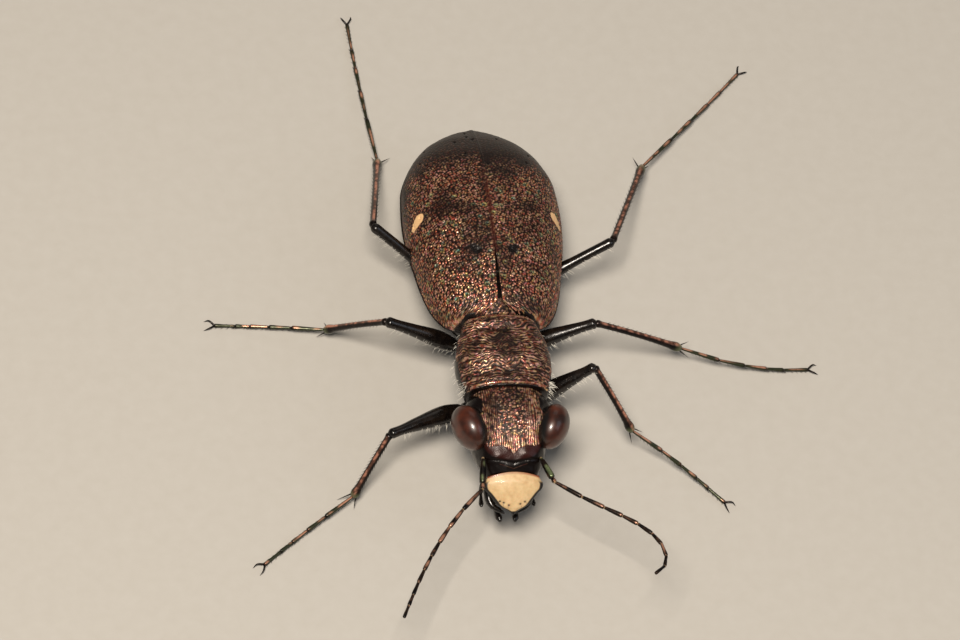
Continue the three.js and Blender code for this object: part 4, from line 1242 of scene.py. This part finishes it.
class BeetleColours(bpy.types.PropertyGroup):
    """Colours of the cuticle, eyes, lip, bristles and floor."""

    case_floor: colour("Wing case floor", "#170906", "Pigmented floor between the grains of a wing case")
    case_crest: colour("Wing case grains", "#ffc7a4", "Grains of a wing case where they glint most")
    case_second: colour("Wing case grains, dull", "#bd6c50", "Grains of a wing case where they glint least")
    # Also the colour of the painted shadow on the front slope of each wing case and in its seam
    case_smooth: colour("Wing case end", "#0b0504", "Smooth rear end, margin and pits of a wing case")
    body_floor: colour("Body floor", "#160a07", "Floor between the wrinkles of head and thorax")
    body_crest: colour("Body wrinkles", "#ffcaa8", "Wrinkles of head and thorax where they glint most")
    body_second: colour("Body wrinkles, dull", "#a2604a", "Wrinkles where they glint least")
    body_smooth: colour("Body smooth", "#090403", "Temples, flanks and face")
    pit: colour("Pits", "#34746a", "Shining pits, the greener part")
    pit_second: colour("Pits, golden", "#cdb873", "Shining pits, the golden part")
    mark: colour("Mark", "#d9b080", "The one pale spot of each wing case")
    seam: colour("Seam", "#4a1a12", "The rusty line along the seam, and the face")
    # Also the painted shade on the inner side of each eye
    black: colour("Black", "#080504", "Hips, thighs, jaws and underside")
    black_second: colour("Black, browner", "#17100b", "Browner clouds in the black")
    leg: colour("Shins and feelers", "#0b0706", "Ground colour of shins, feet and feelers")
    leg_second: colour("Shins, bronzed", "#211510", "Bronzed clouds of shins and feet")
    feeler_second: colour("Feelers, bronzed", "#33251b", "Bronzed clouds of the feelers")
    # Painted highlight: the copper streak is laid along the upper side of shins, feet and feelers
    copper: colour("Copper streaks", "#cf9078", "Streak along the top of shins, feet and feelers")
    # On the feelers this green lies in a painted highlight along their upper side; on shins and feet it is
    # their own tint
    green: colour("Green sheen", "#93a274", "Green sheen on the feelers and the ends of the shins")
    joint: colour("Joint skin", "#c9ab84", "Skin of the feelers' joints")
    eye: colour("Eyes", "#1f0a04", "Eyes, the darker part")
    eye_second: colour("Eyes, lighter", "#542310", "Eyes, the lighter part")
    lip: colour("Lip", "#c7ac82", "Upper lip, the paler part")
    lip_second: colour("Lip, darker", "#b4956a", "Upper lip, the darker part")
    lip_root: colour("Lip root", "#7a3512", "Tanned root of the upper lip")
    white_bristle: colour("White bristles", "#f1ecdf", "Bristles of thorax and thighs")
    dark_bristle: colour("Dark bristles", "#1c130d", "Bristles of the lip")
    floor: colour("Floor", "#aeaba5", "Paper under the beetle")
    floor_second: colour("Floor, darker", "#a7a39c", "Tooth of the paper")


class BeetleStage(bpy.types.PropertyGroup):
    """The camera's place and the strength of the lamps."""

    azimuth: bpy.props.FloatProperty(
        name="Azimuth", description="Where the camera stands round the beetle",
        default=math.radians(-17.603), subtype="ANGLE")
    elevation: bpy.props.FloatProperty(
        name="Elevation", description="How high the camera stands above the floor",
        default=math.radians(59.412), subtype="ANGLE")
    roll: bpy.props.FloatProperty(
        name="Roll", description="Turn of the camera about its own axis",
        default=math.radians(14.528), subtype="ANGLE")
    distance: bpy.props.FloatProperty(
        name="Distance", description="From the camera to the point it looks at",
        default=0.2, subtype="DISTANCE", unit="LENGTH")
    across: bpy.props.FloatProperty(
        name="View width", description="Width of the picture at that point",
        default=960 / 26.413 * MM, subtype="DISTANCE", unit="LENGTH")
    key: bpy.props.FloatProperty(
        name="Key", description="Power of the main lamp, watts", default=0.72)
    fill: bpy.props.FloatProperty(
        name="Fill", description="Power of the side lamp, watts", default=0.07)
    sky: bpy.props.FloatProperty(
        name="Surround", description="Brightness of the surroundings", default=0.13)


# The camera's sensor, the point it looks at in the room, and half the width of the floor in metres
SENSOR = 36
LOOKED_AT = (-0.4755, 0.6037, 3.0)
FLOOR_REACH = 0.6


def stand(target, azimuth, elevation, distance, roll=0.0):
    """A matrix that stands a camera or lamp round the target, facing it and rolled about its axis."""
    back = np.array([math.sin(azimuth) * math.cos(elevation), -math.cos(azimuth) * math.cos(elevation),
                     math.sin(elevation)])
    level = np.array([math.cos(azimuth), math.sin(azimuth), 0.0])
    upright = np.cross(back, level)
    right = math.cos(roll) * level + math.sin(roll) * upright
    up = -math.sin(roll) * level + math.cos(roll) * upright
    place = np.eye(4)
    place[:3] = np.stack([right, up, back, target + distance * back], 1)
    return Matrix(place)


class BEETLE_OT_stage(bpy.types.Operator):
    """Adds the floor, lamps, surroundings and camera"""

    bl_idname = "beetle.stage"
    bl_label = "Stage"

    def execute(self, context):
        scene, stage = context.scene, context.scene.beetle_stage
        target = (np.array(LOOKED_AT) + SHIFT) * MM
        data = bpy.data.cameras.new("camera")
        data.sensor_width = SENSOR
        data.lens = SENSOR * stage.distance / stage.across
        data.clip_start, data.clip_end = 0.01, 10
        camera = bpy.data.objects.new("camera", data)
        camera.matrix_world = stand(target, stage.azimuth, stage.elevation, stage.distance, stage.roll)
        scene.collection.objects.link(camera)
        scene.camera = camera
        # Lamps are soft panels; each has its azimuth, elevation, distance, size, power and colour
        lamps = {
            "key_lamp": (-30, 68, 0.22, 0.055, stage.key, "#fff4e6"),
            "fill_lamp": (70, 40, 0.25, 0.14, stage.fill, "#e8f0ff"),
            "rear_lamp": (165, 38, 0.25, 0.12, 0.35 * stage.fill, "#fff8ee"),
        }
        for name, (turn, height, far, size, power, tint) in lamps.items():
            light = bpy.data.lights.new(name, "AREA")
            light.energy, light.size, light.color = power, size, linear(tint)[:3]
            lamp = bpy.data.objects.new(name, light)
            lamp.matrix_world = stand(target, math.radians(turn), math.radians(height), far)
            scene.collection.objects.link(lamp)
        world = bpy.data.worlds.new("surround")
        world.use_nodes = True
        background = world.node_tree.nodes["Background"]
        put(world.node_tree, background, {"Color": linear("#f2f0ec"), "Strength": stage.sky})
        scene.world = world
        mesh = bpy.data.meshes.new("floor")
        corners = [(x * FLOOR_REACH, y * FLOOR_REACH, 0) for x, y in ((-1, -1), (1, -1), (1, 1), (-1, 1))]
        mesh.from_pydata(corners, [], [(0, 1, 2, 3)])
        mesh.materials.append(material("studio_paper"))
        floor = bpy.data.objects.new("floor", mesh)
        scene.collection.objects.link(floor)
        scene.view_settings.view_transform = "Standard"
        return {"FINISHED"}


class BEETLE_OT_wing_cases(bpy.types.Operator):
    """Adds both wing cases and the small triangle between them"""

    bl_idname = "beetle.wing_cases"
    bl_label = "Wing cases"

    def execute(self, context):
        sizes = context.scene.beetle_sizes
        for name, side in SIDES:
            skin = wing_case(side, sizes)
            add_piece(f"wing_case_{name}", skin, GRAINED, [f"elytron_{name}"])
        add_piece("scutellum_plate", scutellum(), WRINKLED, ["scutellum"])
        return {"FINISHED"}


class BEETLE_OT_thorax(bpy.types.Operator):
    """Adds the first thorax ring and the plates under the wing cases"""

    bl_idname = "beetle.thorax"
    bl_label = "Thorax and abdomen"

    def execute(self, context):
        ring = pronotum(context.scene.beetle_sizes)
        add_piece("pronotum_barrel", ring, WRINKLED, ["prothorax"])
        add_piece("breast_middle", rear_body(-0.4, 1.3, ()), BLACK, ["mesothorax"])
        add_piece("breast_rear", rear_body(1.25, 3.25, (2.0,)), BLACK, ["metathorax"])
        add_piece("abdomen_plates", rear_body(3.2, 8.3, ABDOMEN_GROOVES), BLACK, ["abdomen"])
        return {"FINISHED"}


class BEETLE_OT_head(bpy.types.Operator):
    """Adds the head, eyes, lip, jaws, palps and feelers"""

    bl_idname = "beetle.head"
    bl_label = "Head"

    def execute(self, context):
        head = head_capsule(context.scene.beetle_sizes)
        add_piece("head_capsule", head, WRINKLED, ["head"])
        add_piece("upper_lip", upper_lip(), "ivory_cuticle", ["labrum"])
        for name, side in SIDES:
            add_piece(f"compound_eye_{name}", compound_eye(side), "eye_cornea", [f"eye_{name}"])
            for kind in MOUTH:
                skin = mouthpart(kind, side)
                add_piece(f"{kind}_shape_{name}", skin, BLACK, [f"{kind}_{name}"])
            skin = feeler(side, FEELERS[name])
            add_piece(f"feeler_{name}", skin, "bronzed_feeler_cuticle", [f"antenna_{name}"],
                      in_body=False)
        return {"FINISHED"}


class BEETLE_OT_legs(bpy.types.Operator):
    """Adds the six legs, joint by joint"""

    bl_idname = "beetle.legs"
    bl_label = "Legs"

    def execute(self, context):
        for pair, (name, side) in itertools.product(PAIRS, SIDES):
            pose = LEGS[pair][name]
            made = {
                "coxa": (coxa(pair, side), BLACK),
                "femur": (femur(pair, side, pose), BLACK),
                "tibia": (tibia(side, pose), BRONZED),
                "tarsus": (tarsus(pose), BRONZED),
            }
            for part, (skin, look) in made.items():
                add_piece(f"{part}_shape_{pair}_{name}", skin, look,
                          [f"{part}_{pair}_{name}"], in_body=False)
        return {"FINISHED"}


class BEETLE_OT_bristles(bpy.types.Operator):
    """Adds the white bristles of thorax and thighs and the dark ones of the lip"""

    bl_idname = "beetle.bristles"
    bl_label = "Bristles"

    def execute(self, context):
        add_piece("thigh_bristles", thigh_bristles(), "white_bristle", (), in_body=False)
        add_piece("thorax_bristles", body_bristles(), "white_bristle", (), in_body=False)
        add_piece("lip_bristles", lip_bristles(), "dark_bristle", (), in_body=False)
        return {"FINISHED"}


class BEETLE_PT_panel(bpy.types.Panel):
    """Lists the sizes and the pieces"""

    bl_label = "Tiger beetle"
    bl_idname = "BEETLE_PT_panel"
    bl_space_type = "VIEW_3D"
    bl_region_type = "UI"
    bl_category = "Beetle"

    def draw(self, context):
        scene = context.scene
        for group in (scene.beetle_sizes, scene.beetle_colours, scene.beetle_stage):
            for key in group.bl_rna.properties.keys():
                if key not in ("rna_type", "name"):
                    self.layout.prop(group, key)
        for operator in OPERATORS:
            self.layout.operator(operator.bl_idname)


OPERATORS = (BEETLE_OT_stage, BEETLE_OT_wing_cases, BEETLE_OT_thorax, BEETLE_OT_head, BEETLE_OT_legs,
             BEETLE_OT_bristles)
CLASSES = (BeetleSizes, BeetleColours, BeetleStage, *OPERATORS, BEETLE_PT_panel)


def register():
    """Registers the classes and hangs the settings on the scene."""
    for cls in CLASSES:
        bpy.utils.register_class(cls)
    bpy.types.Scene.beetle_sizes = bpy.props.PointerProperty(type=BeetleSizes)
    bpy.types.Scene.beetle_colours = bpy.props.PointerProperty(type=BeetleColours)
    bpy.types.Scene.beetle_stage = bpy.props.PointerProperty(type=BeetleStage)


def unregister():
    """Takes the settings off the scene and unregisters the classes."""
    del bpy.types.Scene.beetle_stage
    del bpy.types.Scene.beetle_colours
    del bpy.types.Scene.beetle_sizes
    for cls in reversed(CLASSES):
        bpy.utils.unregister_class(cls)


def main():
    """Builds everything."""
    register()
    bpy.ops.beetle.stage()
    bpy.ops.beetle.wing_cases()
    bpy.ops.beetle.thorax()
    bpy.ops.beetle.head()
    bpy.ops.beetle.legs()
    bpy.ops.beetle.bristles()


if __name__ == "__main__":
    main()
